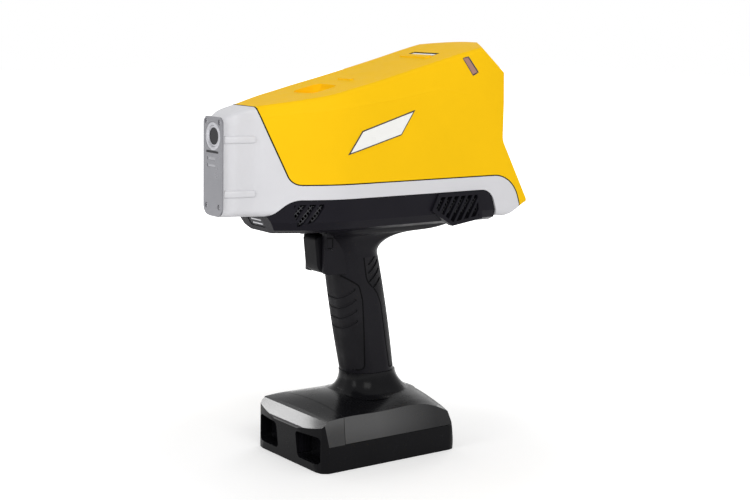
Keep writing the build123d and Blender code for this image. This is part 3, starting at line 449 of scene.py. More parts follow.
# plastics: colour, mottle, roughness, rubbing, grain scale and depth
# metals: colour, streaks, roughness, scale of the streaks
coverYellow = mouldedLook("coverYellow", (0.98, 0.58, 0.008), 0.02, 0.45, 0.08, 2600.0, 0.35, bump=0.10,
                          specular=0.014)
casingGrey = mouldedLook("casingGrey", (0.67, 0.67, 0.70), 0.02, 0.34, 0.08, 2600.0, 0.35, bump=0.10,
                         specular=0.35)
bellyBlack = mouldedLook("bellyBlack", (0.0095, 0.0088, 0.0125), 0.12, 0.42, 0.12, 1500.0, 0.8, bump=0.25,
                         specular=0.06)
handleBlack = mouldedLook("handleBlack", (0.0088, 0.0083, 0.0108), 0.12, 0.36, 0.14, 1500.0, 0.8, bump=0.22,
                          specular=0.07)
# painted reflection and shade: the base's coat is laid by facing and dimmed towards the back
baseBlack = mouldedLook("baseBlack", (0.0055, 0.0055, 0.0065), 0.1, 0.24, 0.1, 2200.0, 0.3, coat=1.0,
                        coatRoughness=0.07, bump=0.05, specular=0.07, polish=True)
plateGrey = mouldedLook("plateGrey", (0.22, 0.22, 0.24), 0.05, 0.33, 0.12, 2400.0, 0.3, metallic=0.35,
                        bump=0.1)
ringSteel = metalLook("ringSteel", (0.50, 0.50, 0.53), 0.35, 0.26, 700.0, bump=0.06)
filmBlack = mouldedLook("filmBlack", (0.012, 0.012, 0.016), 0.1, 0.2, 0.06, 500.0, 0.1, bump=0.03,
                        specular=0.12)
lensSmoke = mouldedLook("lensSmoke", (0.36, 0.17, 0.13), 0.12, 0.14, 0.05, 900.0, 0.1, coat=0.6,
                        coatRoughness=0.04, bump=0.03)
lensPale = mouldedLook("lensPale", (0.80, 0.76, 0.66), 0.06, 0.14, 0.05, 900.0, 0.1, coat=0.6,
                       coatRoughness=0.04, bump=0.03)
bezelBlack = mouldedLook("bezelBlack", (0.014, 0.014, 0.016), 0.1, 0.45, 0.1, 1700.0, 0.8, bump=0.2)
screenGlass = mouldedLook("screenGlass", (0.006, 0.008, 0.012), 0.3, 0.06, 0.05, 300.0, 0.05, coat=1.0,
                          coatRoughness=0.02, bump=0.01)
keyRubber = rubberLook("keyRubber", (0.035, 0.035, 0.04), 2600.0, 0.55, 0.2, bump=0.1)
gripRubber = rubberLook("gripRubber", (0.0085, 0.0081, 0.0098), 1300.0, 0.62, 0.22, bump=0.35, specular=0.1)
boardGreen = mouldedLook("boardGreen", (0.012, 0.11, 0.05), 0.25, 0.3, 0.2, 600.0, 0.6, bump=0.2)
machined = metalLook("machined", (0.56, 0.56, 0.58), 0.3, 0.32, 500.0, bump=0.08, stretch=(0.15, 1, 1))
darkSteel = metalLook("darkSteel", (0.34, 0.34, 0.36), 0.3, 0.28, 600.0, bump=0.08, stretch=(1, 0.2, 1))
goldContact = metalLook("goldContact", (0.80, 0.58, 0.24), 0.2, 0.22, 600.0, bump=0.05)
cellWrap = mouldedLook("cellWrap", (0.03, 0.16, 0.36), 0.08, 0.28, 0.1, 900.0, 0.3, coat=0.4, bump=0.06)
darkMoulding = mouldedLook("darkMoulding", (0.02, 0.02, 0.022), 0.15, 0.5, 0.1, 1400.0, 0.8, bump=0.2)
plateWhite = mouldedLook("plateWhite", (0.90, 0.90, 0.88), 0.015, 0.3, 0.08, 1500.0, 0.2, bump=0.05)
# this grey prints the key marks and also paints the highlight on the lock recess's lower edge
printAndHighlightGrey = mouldedLook("printAndHighlightGrey", (0.55, 0.55, 0.56), 0.05, 0.5, 0.1, 1500.0, 0.3, bump=0.05)
# painted shade: a darker copy of the handle's black for the trigger, which faces the front lamp
shadedTriggerBlack = mouldedLook("shadedTriggerBlack", (0.0045, 0.0044, 0.0056), 0.12, 0.4, 0.14, 1500.0, 0.8, bump=0.2,
                           specular=0.05)
blackSteel = metalLook("blackSteel", (0.055, 0.055, 0.06), 0.3, 0.42, 600.0, bump=0.08)
# this black colours the dark joints and the roof gasket, and also paints the shade in the lock recess's
# outline
jointAndShadeBlack = mouldedLook("jointAndShadeBlack", (0.0022, 0.0022, 0.0026), 0.15, 0.7, 0.1, 1400.0, 0.6, bump=0.1,
                         specular=0.05)
print("materials built:", len(bpy.data.materials))

nodeMaterials = {
    "top_cover": coverYellow, "nose_casing": casingGrey, "belly_casing": bellyBlack,
    "nose_plate": plateGrey, "window_ring": ringSteel, "window_film": filmBlack, "sensor_slot": filmBlack,
    "upper_sensor": darkSteel, "lower_sensor": darkSteel, "port_grille": blackSteel,
    "left_light": lensSmoke, "right_light": lensSmoke, "roof_light": lensPale, "rear_bezel": bezelBlack,
    "display_glass": screenGlass, "display_module": darkMoulding, "keypad_board": boardGreen,
    "main_board": boardGreen, "battery_board": boardGreen, "instrument_frame": machined,
    "source_mount": machined, "heat_sink": machined, "xray_tube": darkSteel, "detector": darkSteel,
    "filter_wheel": darkSteel, "filter_motor": darkSteel, "hv_supply": darkMoulding,
    "fan_frame": darkMoulding, "fan_rotor": darkMoulding, "handle_core": handleBlack,
    "front_grip": gripRubber, "rear_grip": gripRubber, "trigger": shadedTriggerBlack, "trigger_pin": darkSteel,
    "trigger_spring": darkSteel, "trigger_switch": darkMoulding, "base_dock": baseBlack,
    "battery_case": baseBlack, "dock_contacts": goldContact, "battery_terminals": goldContact,
    "left_cell": cellWrap, "middle_cell": cellWrap, "right_cell": cellWrap, "left_latch": handleBlack,
    "right_latch": handleBlack,
}
for name, cadNode in nodes.items():
    dress(cadNode, nodeMaterials.get(name, keyRubber))


# ---- shells: the moulded parts with soft edges and smooth faces

shellPlan = {  # CAD node: edge radius in mm, smoothing angle in degrees
    "top_cover": (0.35, 24), "nose_casing": (0.3, 24), "belly_casing": (0.3, 24), "handle_core": (0.3, 26),
    "front_grip": (0.0, 40), "rear_grip": (0.0, 40), "base_dock": (0.3, 22), "battery_case": (0.4, 22),
    "nose_plate": (0.3, 30), "rear_bezel": (0.3, 24), "trigger": (0.3, 30),
}
shellMerge = {"distance": 2e-6, "flatAngle": 0.6, "segments": 2}


def dressedShell(node, radius, angle):
    mesh = nodes[node].data.copy()
    mesh.name = node + "Skin"
    bm = bmesh.new()
    bm.from_mesh(mesh)
    bmesh.ops.remove_doubles(bm, verts=bm.verts, dist=shellMerge["distance"])
    bmesh.ops.dissolve_limit(bm, angle_limit=math.radians(shellMerge["flatAngle"]), verts=bm.verts,
                             edges=bm.edges)
    for face in bm.faces:
        face.smooth = True
    for edge in bm.edges:
        edge.smooth = edge.calc_face_angle(0) < math.radians(angle)
    bm.to_mesh(mesh)
    bm.free()
    piece = inScene(node + "Skin", mesh)
    if radius:
        rounding = piece.modifiers.new("rounding", "BEVEL")
        rounding.width = radius * mm
        rounding.segments = shellMerge["segments"]
        rounding.limit_method = "ANGLE"
        rounding.angle_limit = math.radians(angle)
        rounding.harden_normals = True
        rounding.use_clamp_overlap = True
        evened = piece.modifiers.new("evened", "WEIGHTED_NORMAL")
        evened.keep_sharp = True
        finished = applied(piece)
        piece.modifiers.clear()
        piece.data = finished
    dress(piece, nodeMaterials[node])
    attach(piece, nodes[node]["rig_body"])
    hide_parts(node)


for name, (radius, angle) in shellPlan.items():
    dressedShell(name, radius, angle)
print("shells dressed:", len(shellPlan))


# ---- the dark joint between the yellow cover and the grey casing

castFrom = {"side": 80, "roof": 400, "nose": -200}  # how far off the measuring rays start, in mm
up = Vector((0, 0, 1))
coverJoint = {  # corners seen from the side with their radii, how wide, proud and deep the strip is
    "corners": ((-93, 262), (-93, 248.2), (-71.3, 194.4), (108, 194.4), (118.5, 165)),
    "radii": (0, 5, 9, 24, 0), "width": 0.75, "proud": 0.12, "sunk": 0.5, "step": 1.2,
    "roofHalfSpan": 34.0, "roofStep": 0.5, "roofTries": 6, "leastRise": 0.3,
}


def roundedPath(corners, radii, step):
    points = [Vector(corners[0])]
    for before, here, after, radius in zip(corners, corners[1:], corners[2:], radii[1:]):
        here = Vector(here)
        back, ahead = (Vector(before) - here).normalized(), (Vector(after) - here).normalized()
        half = back.angle(ahead) / 2
        reach = radius / math.tan(half)
        centre = here + (back + ahead).normalized() * radius / math.sin(half)
        first, last = here + back * reach - centre, here + ahead * reach - centre
        turn = math.atan2(first.cross(last), first.dot(last))
        count = max(2, int(abs(turn) * radius / step))
        for k in range(count + 1):
            angle = turn * k / count
            c, s = math.cos(angle), math.sin(angle)
            points.append(centre + Vector((first.x * c - first.y * s, first.x * s + first.y * c)))
    points.append(Vector(corners[-1]))
    dense = []
    for start, end in zip(points, points[1:]):
        count = max(1, round((end - start).length / step))
        dense += [start.lerp(end, k / count) for k in range(count)]
    return dense + [points[-1]]


casingSkin = shellTree(("top_cover", "nose_casing", "belly_casing", "left_light", "right_light",
                        "roof_light"))


def ribbon(name, stations, material, closed=False):
    # each station holds four corners of the strip's section, in order round it
    points = [corner for station in stations for corner in station]
    count = len(stations)
    faces = []
    for k in range(count if closed else count - 1):
        a, b = 4 * k, 4 * ((k + 1) % count)
        faces += [(a + i, a + (i + 1) % 4, b + (i + 1) % 4, b + i) for i in range(4)]
    if not closed:
        faces += [(3, 2, 1, 0), tuple(4 * (count - 1) + i for i in range(4))]
    linkNew(name, meshFrom(name, points, faces), "housing", material)


def edgePath(corners, step=0.8):
    path = []
    for start, end in zip(corners, corners[1:] + corners[:1]):
        start, end = Vector(start), Vector(end)
        count = max(2, round((end - start).length / step))
        path += [start.lerp(end, k / count) for k in range(count)]
    return path


def stripSection(first, second, out, plan):
    return (first + out * plan["proud"], second + out * plan["proud"],
            second - out * plan["sunk"], first - out * plan["sunk"])


def sideStations(path, side, plan, closed=False, skin=casingSkin):
    stations = []
    for k, place in enumerate(path):
        before = path[k - 1] if k or closed else place
        after = path[(k + 1) % len(path)] if k + 1 < len(path) or closed else place
        along = (after - before).normalized()
        across = Vector((-along.y, along.x)) * plan["width"] / 2
        edges = []
        for spot in (place + across, place - across):
            hit = castOn(skin, (spot.x, side * castFrom["side"], spot.y), (0, -side, 0))[0]
            if hit is None or hit.y * side < 0:
                break
            edges.append(hit)
        if len(edges) == 2 and (edges[0] - edges[1]).length <= 2 * plan["width"]:
            stations.append(stripSection(*edges, Vector((0, side, 0)), plan))
    return stations


def roofSpot(x, y):
    return castOn(casingSkin, (x, y, castFrom["roof"]), -up)


def roofStations(path, plan):
    # the same strip in a closed run, laid on the roof from above
    stations = []
    for k, place in enumerate(path):
        along = (path[(k + 1) % len(path)] - path[k - 1]).normalized()
        across = Vector((-along.y, along.x)) * plan["width"] / 2
        edges = [roofSpot(spot.x, spot.y)[0] for spot in (place - across, place + across)]
        stations.append(stripSection(*edges, up, plan))
    return stations


jointPath = roundedPath(coverJoint["corners"], coverJoint["radii"], coverJoint["step"])
for side, name in ((-1, "leftJoint"), (1, "rightJoint")):
    ribbon(name, sideStations(jointPath, side, coverJoint), jointAndShadeBlack)


def seamAt(height):
    for upper, lower in zip(jointPath, jointPath[1:]):
        if lower.y <= height <= upper.y:
            return upper.x + (lower.x - upper.x) * (upper.y - height) / (upper.y - lower.y)
    return jointPath[0].x


def roofJoint(plan):
    # carries the side joint's line over the roof, from edge to edge
    stations = []
    for k in range(round(2 * plan["roofHalfSpan"] / plan["roofStep"]) + 1):
        y = k * plan["roofStep"] - plan["roofHalfSpan"]
        x = jointPath[0].x
        for _ in range(plan["roofTries"]):
            hit, facing = roofSpot(x, y)
            if hit is None:
                break
            x = seamAt(hit.z)
        if hit is None or facing.z < plan["leastRise"]:
            continue
        edges = [roofSpot(x + shift, y)[0] for shift in (-plan["width"] / 2, plan["width"] / 2)]
        stations.append(stripSection(*edges, up, plan))
    return stations


ribbon("roofJoint", roofJoint(coverJoint), jointAndShadeBlack)
print("cover joint laid:", len(jointPath), "stations a side")


# ---- dark joints round the two rubber grips

gripJoints = {  # corners seen from the side with their radii
    "front": (((-21.9, 129.3), (-8, 120.5), (-5, 110), (-0.8, 59.8), (-12, 59.8)), (0, 5, 12, 3, 0)),
    "rear": (((-4.4, 139.8), (-1.8, 123.6), (7, 114.9), (10.9, 106.5), (16, 78.4), (20, 59.8), (27, 59.8)),
             (0, 10, 12, 20, 20, 1, 0)),
    "width": 0.95, "proud": 0.06, "sunk": 0.7, "step": 1.4,
}
gripSkin = shellTree(("handle_core", "front_grip", "rear_grip"))
for grip in ("front", "rear"):
    gripPath = roundedPath(*gripJoints[grip], gripJoints["step"])
    for side, hand in ((-1, "Left"), (1, "Right")):
        ribbon(grip + "GripJoint" + hand, sideStations(gripPath, side, gripJoints, skin=gripSkin), jointAndShadeBlack)
print("grip joints laid")


# ---- painted shade and highlight on each side of the trigger's housing: a dark outline stands in for the shade of a lock recess, and a grey strip for the highlight on its lit lower edge

lockRecessShading = {"corners": ((-34.8, 148.2), (-34.8, 155.2), (-29.2, 154.8), (-29.2, 147.8)),
              "lip": ((-34.6, 147.2), (-29.4, 146.8)), "width": 0.8, "proud": 0.08, "sunk": 0.6}
for side, hand in ((-1, "left"), (1, "right")):
    edge = sideStations(edgePath(lockRecessShading["corners"]), side, lockRecessShading, closed=True, skin=gripSkin)
    lip = sideStations([Vector(spot) for spot in lockRecessShading["lip"]], side, lockRecessShading, skin=gripSkin)
    # painted shade: the dark outline where the recess is shaded
    ribbon(hand + "LockEdge", edge, jointAndShadeBlack, closed=True)
    # painted highlight: the grey strip along the recess's lit lower edge
    ribbon(hand + "LockLip", lip, printAndHighlightGrey)
print("lock recesses marked")


# ---- raised bars along the sides of the nose

noseBars = {"heights": (189.0, 224.0), "start": -112.6, "end": -91.5, "width": 4.8, "proud": 1.3, "sunk": 0.8,
            "seatAbove": 3.4, "fullness": 0.6, "leastSwell": 0.04, "lengthSteps": 26, "sectionSteps": 10}


def noseBar(name, side, height):
    b = noseBars
    points, faces = [], []
    steps, ribs = b["lengthSteps"], b["sectionSteps"]
    for i in range(steps + 1):
        x = b["start"] + (b["end"] - b["start"]) * i / steps
        fromEnd = min(1.0, (b["end"] - x) / (b["width"] / 2))
        swell = max(math.sqrt(max(0.0, 1 - (1 - fromEnd) ** 2)), b["leastSwell"])
        half = b["width"] / 2 * swell
        seat = castOn(casingSkin, (x, side * castFrom["side"], height + b["seatAbove"]), (0, -side, 0))[0].y
        for k in range(ribs + 1):
            turn = math.pi * k / ribs
            rise = b["proud"] * math.sin(turn) ** b["fullness"] * swell
            points.append((x, seat + side * rise, height + half * math.cos(turn)))
        points.append((x, seat - side * b["sunk"], height - half))
        points.append((x, seat - side * b["sunk"], height + half))
    ring = ribs + 3
    for i in range(steps):
        for k in range(ring):
            a, c = i * ring + k, i * ring + (k + 1) % ring
            faces.append((a, c, c + ring, a + ring))
    faces += [tuple(range(ring)), tuple(steps * ring + k for k in reversed(range(ring)))]
    linkNew(name, meshFrom(name, points, faces, smooth=True), "housing", casingGrey)


for side, hand in ((-1, "left"), (1, "right")):
    for height, level in zip(noseBars["heights"], ("Lower", "Upper")):
        noseBar(hand + level + "Bar", side, height)
print("nose bars fitted")


# ---- dark gaskets round the three lights

lightGaskets = {"width": 0.7, "proud": 0.12, "sunk": 0.6,
                "shoulder": ((61.3, 276.3), (65.9, 277.3), (74.3, 266.8), (69.7, 264.7)),
                "roof": ((53.0, -14.0), (58.2, -14.0), (58.2, 14.0), (53.0, 14.0))}
for side, name in ((-1, "leftGasket"), (1, "rightGasket")):
    gasket = sideStations(edgePath(lightGaskets["shoulder"]), side, lightGaskets, closed=True)
    ribbon(name, gasket, darkMoulding, closed=True)
ribbon("roofGasket", roofStations(edgePath(lightGaskets["roof"]), lightGaskets), jointAndShadeBlack,
       closed=True)
print("light gaskets fitted")


# ---- two bright strips set in the slots of the port cover

portStrips = {"heights": (166.9, 169.6), "half": 6.2, "steps": 8, "reach": 0.85, "recess": 0.2, "thick": 0.4,
              "inset": 0.2}
portSkin = shellTree(("port_grille",))


def portStrip(name, height):
    p = portStrips
    front = Vector((p["recess"], 0, 0))
    back = front + Vector((p["thick"], 0, 0))
    stations = []
    for k in range(p["steps"] + 1):
        y = p["half"] * (2 * k / p["steps"] - 1)
        above, below = (castOn(portSkin, (castFrom["nose"], y, height + lift), (1, 0, 0))[0]
                        for lift in (p["reach"], -p["reach"]))
        high, low = above.lerp(below, p["inset"]), above.lerp(below, 1 - p["inset"])
        stations.append((high + front, low + front, low + back, high + back))
    ribbon(name, stations, machined)


for height, name in zip(portStrips["heights"], ("lowerPortStrip", "upperPortStrip")):
    portStrip(name, height)
print("port strips set")


# ---- the bare name plate on the left side

sidePlate = {"corners": ((-33.6, 215.0), (-24.2, 228.5), (16.9, 240.6), (7.2, 226.1)), "proud": 0.45,
             "sunk": 0.3, "margin": 0.8, "rimProud": 0.3, "columns": 28, "rows": 12}


def plateOnCover(name, corners, proud, material):
    cover = shellTree(("top_cover",))
    lowLeft, topLeft, topRight, lowRight = (Vector((x, 0, z)) for x, z in corners)
    columns, rows = sidePlate["columns"], sidePlate["rows"]
    points, faces = [], []
    for lift in (proud, -sidePlate["sunk"]):
        for row in range(rows + 1):
            for column in range(columns + 1):
                u, v = column / columns, row / rows
                place = lowLeft.lerp(lowRight, u).lerp(topLeft.lerp(topRight, u), v)
                hit = castOn(cover, (place.x, -castFrom["side"], place.z), (0, 1, 0))[0]
                points.append((place.x, hit.y - lift, place.z))
    wide, layer = columns + 1, (columns + 1) * (rows + 1)
    for row in range(rows):
        for column in range(columns):
            a = row * wide + column
            faces.append((a, a + 1, a + 1 + wide, a + wide))
            faces.append((layer + a + wide, layer + a + 1 + wide, layer + a + 1, layer + a))
    ring = (list(range(columns)) + [columns + r * wide for r in range(rows)]
            + [rows * wide + columns - c for c in range(columns)] + [(rows - r) * wide for r in range(rows)])
    for a, b in zip(ring, ring[1:] + ring[:1]):
        faces.append((a, layer + a, layer + b, b))
    linkNew(name, meshFrom(name, points, faces), "housing", material)


def grown(corners, margin):
    middle = sum((Vector(c) for c in corners), Vector((0, 0))) / 4
    moved = []
    for index, corner in enumerate(corners):
        here = Vector(corner)
        back, ahead = ((Vector(corners[k % 4]) - here).normalized() for k in (index - 1, index + 1))
        moved.append(tuple(here - (back + ahead) * margin / abs(back.cross(ahead))))
    return moved


plateOnCover("plateRim", grown(sidePlate["corners"], sidePlate["margin"]), sidePlate["rimProud"], bezelBlack)
plateOnCover("plateFace", sidePlate["corners"], sidePlate["proud"], plateWhite)
print("side plate fitted")


# ---- screws, made with Geometry Nodes

screwSizes = {  # the profile gives shares of the head's radius and depth
    "headRadius": 1.55, "headDepth": 0.6, "socketRadius": 0.75, "socketDepth": 0.45, "sides": 24,
    "profile": ((1, 0), (0.97, 0.45), (0.8, 0.85), (0.6, 1)),
}


def screwHead():
    # a low button head with a six-sided socket, standing along +Z, its seat at z = 0
    s = screwSizes
    sides = s["sides"]
    bm = bmesh.new()

    def ring(height, radiusAt):
        turns = [math.tau * k / sides for k in range(sides)]
        return [bm.verts.new((radiusAt(turn) * math.cos(turn), radiusAt(turn) * math.sin(turn), height))
                for turn in turns]

    def socketAt(turn):
        inSide = (turn + math.pi / 6) % (math.pi / 3) - math.pi / 6
        return s["socketRadius"] * math.cos(math.pi / 6) / math.cos(inSide)

    rings = [ring(s["headDepth"] * rise, lambda turn: s["headRadius"] * out) for out, rise in s["profile"]]
    rings += [ring(height, socketAt) for height in (s["headDepth"], s["headDepth"] - s["socketDepth"])]
    for lower, upper in zip(rings, rings[1:]):
        for k in range(sides):
            bm.faces.new((lower[k], lower[(k + 1) % sides], upper[(k + 1) % sides], upper[k]))
    bm.faces.new(list(reversed(rings[0])))
    bm.faces.new(rings[-1])
    bmesh.ops.recalc_face_normals(bm, faces=bm.faces)
    mesh = bpy.data.meshes.new("screwHead")
    bm.to_mesh(mesh)
    bm.free()
    mesh.transform(Matrix.Scale(mm, 4))
    return mesh


def realWith(tree, placed, material, output):
    # the end of both trees: real copies in one material
    real = tree.nodes.new("GeometryNodeRealizeInstances")
    tree.links.new(placed.outputs[0], real.inputs[0])
    finish = tree.nodes.new("GeometryNodeSetMaterial")
    finish.inputs["Material"].default_value = material
    tree.links.new(real.outputs[0], finish.inputs["Geometry"])
    tree.links.new(finish.outputs[0], output)


def runTree(piece, tree, values):
    maker = piece.modifiers.new(tree.name, "NODES")
    maker.node_group = tree
    for item in tree.interface.items_tree:
        if item.name in values:
            maker[item.identifier] = values[item.name]
    return applied(piece)


def screwTree(head, material):
    # one screw on the middle of each face, standing along the face's normal, turned at random about it
    tree, start, end = newGroup("screwsOnFaces", [
        ("Seats", "Geometry", None), ("Size", "Float", 1.0), ("Turn Spread", "Float", 1.0),
        ("Seed", "Int", 4)], [("Screws", "Geometry")], "GeometryNodeTree")
    shape = tree.nodes.new("GeometryNodeObjectInfo")
    shape.inputs["Object"].default_value = head
    kept = tree.nodes.new("GeometryNodeCaptureAttribute")
    kept.domain = "FACE"
    kept.capture_items.new("VECTOR", "Facing")
    normal = tree.nodes.new("GeometryNodeInputNormal")
    tree.links.new(start.outputs["Seats"], kept.inputs["Geometry"])
    tree.links.new(normal.outputs[0], kept.inputs["Facing"])
    centre = tree.nodes.new("GeometryNodeMeshToPoints")
    centre.mode = "FACES"
    tree.links.new(kept.outputs["Geometry"], centre.inputs["Mesh"])
    facing = tree.nodes.new("FunctionNodeAlignRotationToVector")
    facing.axis = "Z"
    tree.links.new(kept.outputs["Facing"], facing.inputs["Vector"])
    # the random value keeps its plain number in input 3 and output 1
    chance = tree.nodes.new("FunctionNodeRandomValue")
    tree.links.new(start.outputs["Turn Spread"], chance.inputs[3])
    tree.links.new(start.outputs["Seed"], chance.inputs["Seed"])
    around = tree.nodes.new("FunctionNodeAxisAngleToRotation")
    tree.links.new(chance.outputs[1], around.inputs["Angle"])
    turned = tree.nodes.new("FunctionNodeRotateRotation")
    turned.rotation_space = "LOCAL"
    tree.links.new(facing.outputs[0], turned.inputs["Rotation"])
    tree.links.new(around.outputs[0], turned.inputs["Rotate By"])
    placed = tree.nodes.new("GeometryNodeInstanceOnPoints")
    tree.links.new(centre.outputs[0], placed.inputs["Points"])
    tree.links.new(shape.outputs["Geometry"], placed.inputs["Instance"])
    tree.links.new(turned.outputs[0], placed.inputs["Rotation"])
    tree.links.new(start.outputs["Size"], placed.inputs["Scale"])
    realWith(tree, placed, material, end.inputs["Screws"])
    return tree


headObject = inScene("screwPattern", screwHead())
steelScrews = screwTree(headObject, darkSteel)
screwSeats = {"nose": ((-8.3, 235.0), (8.3, 235.0), (-8.0, 180.4), (8.0, 180.4)), "noseInset": 0.75,
              "noseSize": 1.0, "belly": ((-58, -20), (-58, 20), (76, -20), (76, 20)), "bellyFloor": 161.5,
              "bellySize": 1.15, "markRadius": 0.01, "spread": 1.0, "seed": 4}


def screwsAt(name, places, facing, size):
    # a tiny triangle at each place carries it and the way the head faces into the node tree
    turn = Vector(facing).to_track_quat("Z", "Y").to_matrix()
    marks = [turn @ (Vector((math.cos(a), math.sin(a), 0)) * screwSeats["markRadius"] * mm)
             for a in (0, math.tau / 3, 2 * math.tau / 3)]
    bm = bmesh.new()
    for place in places:
        bm.faces.new([bm.verts.new(Vector(place) * mm + mark) for mark in marks])
    mesh = bpy.data.meshes.new(name)
    bm.to_mesh(mesh)
    bm.free()
    piece = inScene(name, mesh)
    finished = runTree(piece, steelScrews, {"Size": size, "Turn Spread": screwSeats["spread"],
                                            "Seed": screwSeats["seed"]})
    piece.modifiers.clear()
    piece.data = finished
    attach(piece, "housing")


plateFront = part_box("nose_plate")[0].x / mm
screwsAt("noseScrews", [(plateFront + screwSeats["noseInset"], y, z) for y, z in screwSeats["nose"]],
         (-1, 0, 0), screwSeats["noseSize"])
screwsAt("bellyScrews", [(x, y, screwSeats["bellyFloor"]) for x, y in screwSeats["belly"]], (0, 0, -1),
         screwSeats["bellySize"])
bpy.data.objects.remove(headObject)
print("screws set")


# ---- marks on the keys

keyField = {"middle": (111.55, 0.0, 192.0), "slope": (29.5, 54.0), "proud": 1.2, "sunk": 0.1, "thick": 0.12}
keyCentres = {"up_key": (0, 11.5), "left_key": (-11.5, 0), "down_key": (0, -11.5), "right_key": (11.5, 0),
              "centre_key": (0, 0), "power_key": (-22, -13), "home_key": (-22, 13), "menu_key": (22, 13),
              "back_key": (22, -13)}


def onKeys(x, y, height):
    run, drop = keyField["slope"]
    length = math.hypot(run, drop)
    outward = Vector((drop / length, 0, run / length))
    upward = Vector((-run / length, 0, drop / length))
    return Vector(keyField["middle"]) + Vector((0, 1, 0)) * x + upward * y + outward * height


def markPrism(outline, name, key):
    cx, cy = keyCentres[key]
    low, high = keyField["proud"] - keyField["sunk"], keyField["proud"] + keyField["thick"]
    points = [onKeys(cx + x, cy + y, h) for h in (low, high) for x, y in outline]
    count = len(outline)
    faces = [tuple(range(count)), tuple(range(2 * count - 1, count - 1, -1))]
    faces += [(k, (k + 1) % count, count + (k + 1) % count, count + k) for k in range(count)]
    linkNew(name, meshFrom(name, points, faces), key, printAndHighlightGrey)


def arc(radius, width, first, last, steps):
    angles = [math.radians(first + (last - first) * k / steps) for k in range(steps + 1)]
    outer, inner = ([(reach * math.cos(a), reach * math.sin(a)) for a in angles]
                    for reach in (radius + width / 2, radius - width / 2))
    return outer + inner[::-1]


def turnedBy(outline, degrees):
    c, s = math.cos(math.radians(degrees)), math.sin(math.radians(degrees))
    return [(x * c - y * s, x * s + y * c) for x, y in outline]


def bar(left, low, right, high):
    return [(left, low), (right, low), (right, high), (left, high)]


markShapes = {
    "arrow": [(-1.9, -1.0), (0, 1.2), (1.9, -1.0), (1.2, -1.0), (0, 0.35), (-1.2, -1.0)],
    "house": [(-1.9, -0.2), (0, 1.9), (1.9, -0.2), (1.3, -0.2), (1.3, -1.8), (-1.3, -1.8), (-1.3, -0.2)],
    "back": [(-2.2, 0), (-0.6, 1.5), (-0.6, 0.35), (2.2, 0.35), (2.2, -0.35), (-0.6, -0.35), (-0.6, -1.5)],
    "ring": arc(2.0, 0.6, 0, 358, 28), "powerArc": arc(1.7, 0.55, -230, 50, 20),
    "powerBar": bar(-0.28, 0.6, 0.28, 2.4),
}
menuLines = {"half": 1.9, "pitch": 1.2, "thick": 0.5}
for step, direction in enumerate(("up", "left", "down", "right")):
    markPrism(turnedBy(markShapes["arrow"], 90 * step), direction + "Mark", direction + "_key")
markPrism(markShapes["ring"], "centreMark", "centre_key")
markPrism(markShapes["powerArc"], "powerArc", "power_key")
markPrism(markShapes["powerBar"], "powerBar", "power_key")
markPrism(markShapes["house"], "homeMark", "home_key")
for step in (-1, 0, 1):
    middle = step * menuLines["pitch"]
    line = bar(-menuLines["half"], middle - menuLines["thick"] / 2, menuLines["half"],
               middle + menuLines["thick"] / 2)
    markPrism(line, "menuBar" + str(step + 2), "menu_key")
markPrism(markShapes["back"], "backMark", "back_key")
print("key marks cut")


# ---- crossed wires in the belly vents, made with Geometry Nodes

ventScreens = {  # first wire's middle, wires, height and depth of each screen
    "front": {"x": -72.0, "count": 9, "z": 174.0, "depth": 2.0},
    "rear": {"x": 38.0, "count": 15, "z": 172.6, "depth": 0.3},
    "length": 17.0, "pitch": 2.9, "wire": 0.5, "lean": 40.0, "steps": 12,
}
bellyWall = {"noseHalf": 16.8, "half": 40.0, "swellStart": -90, "swellRun": 60,
             "insets": ((164.2, 5.0), (169.7, 1.6), (192.0, 0.8))}  # height, how far the wall leans in there


def wallHalf(x, z):
    # half width of the belly's outer wall, matched to the solid's sections
    w = bellyWall
    swell = math.sin(math.pi / 2 * min(1.0, max(0.0, (x - w["swellStart"]) / w["swellRun"])))
    (foot, footInset), (knee, kneeInset), (top, topInset) = w["insets"]
    if z > knee:
        inset = kneeInset + (topInset - kneeInset) * (z - knee) / (top - knee)
    else:
        inset = footInset + (kneeInset - footInset) * max(0.0, z - foot) / (knee - foot)
    return w["noseHalf"] + (w["half"] - w["noseHalf"]) * swell - inset


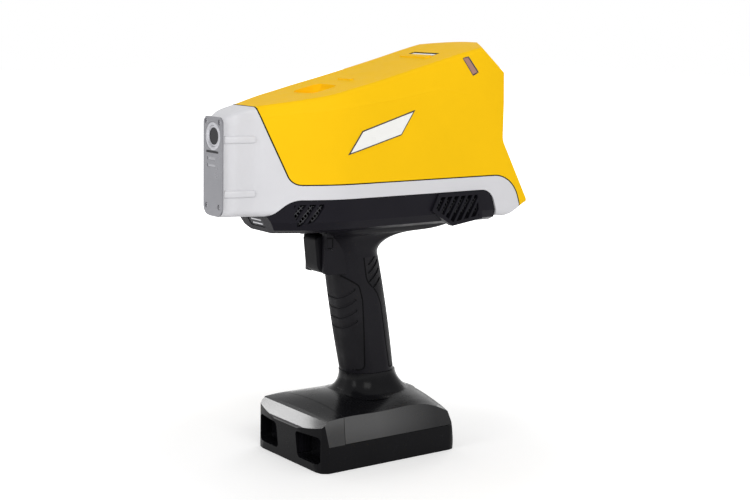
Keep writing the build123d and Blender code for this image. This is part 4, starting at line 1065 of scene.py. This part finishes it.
def wireTree(material):
    tree, start, end = newGroup("leaningWires", [
        ("Geometry", "Geometry", None), ("Count", "Int", 9), ("Pitch", "Float", 0.003),
        ("Length", "Float", 0.02), ("Wire", "Float", 0.0005), ("Lean", "Float", 0.7), ("Steps", "Int", 12)],
        [("Wires", "Geometry")], "GeometryNodeTree")
    spots = tree.nodes.new("GeometryNodeMeshLine")
    stepAlong = tree.nodes.new("ShaderNodeCombineXYZ")
    tree.links.new(start.outputs["Pitch"], stepAlong.inputs["X"])
    tree.links.new(start.outputs["Count"], spots.inputs["Count"])
    tree.links.new(stepAlong.outputs[0], spots.inputs["Offset"])
    rod = tree.nodes.new("GeometryNodeMeshCube")
    size = tree.nodes.new("ShaderNodeCombineXYZ")
    for axis, label in (("X", "Wire"), ("Y", "Wire"), ("Z", "Length")):
        tree.links.new(start.outputs[label], size.inputs[axis])
    tree.links.new(size.outputs[0], rod.inputs["Size"])
    tree.links.new(start.outputs["Steps"], rod.inputs["Vertices Z"])
    placed = tree.nodes.new("GeometryNodeInstanceOnPoints")
    lean = tree.nodes.new("ShaderNodeCombineXYZ")
    tree.links.new(start.outputs["Lean"], lean.inputs["Y"])
    tree.links.new(spots.outputs[0], placed.inputs["Points"])
    tree.links.new(rod.outputs["Mesh"], placed.inputs["Instance"])
    tree.links.new(lean.outputs[0], placed.inputs["Rotation"])
    realWith(tree, placed, material, end.inputs["Wires"])
    return tree


screenWires = wireTree(blackSteel)


def ventScreen(name, place, side):
    v, here = ventScreens, ventScreens[place]
    finished = bpy.data.meshes.new(name)
    both = bmesh.new()
    for way in (-1, 1):
        piece = inScene(name, bpy.data.meshes.new(name + "Seed"))
        wires = runTree(piece, screenWires, {
            "Count": here["count"], "Pitch": v["pitch"] * mm, "Length": v["length"] * mm,
            "Wire": v["wire"] * mm, "Lean": math.radians(way * v["lean"]), "Steps": v["steps"]})
        bpy.data.objects.remove(piece)
        both.from_mesh(wires)
    for vert in both.verts:
        x, thick, z = (value / mm for value in vert.co)
        x, z = x + here["x"], z + here["z"]
        vert.co = Vector((x, side * (wallHalf(x, z) - here["depth"] + thick), z)) * mm
    bmesh.ops.recalc_face_normals(both, faces=both.faces)
    both.to_mesh(finished)
    both.free()
    linkNew(name, finished, "housing", blackSteel)


for place in ("front", "rear"):
    for side, hand in ((-1, "Left"), (1, "Right")):
        ventScreen(place + "Screen" + hand, place, side)
print("vent screens set")
print("scene complete")

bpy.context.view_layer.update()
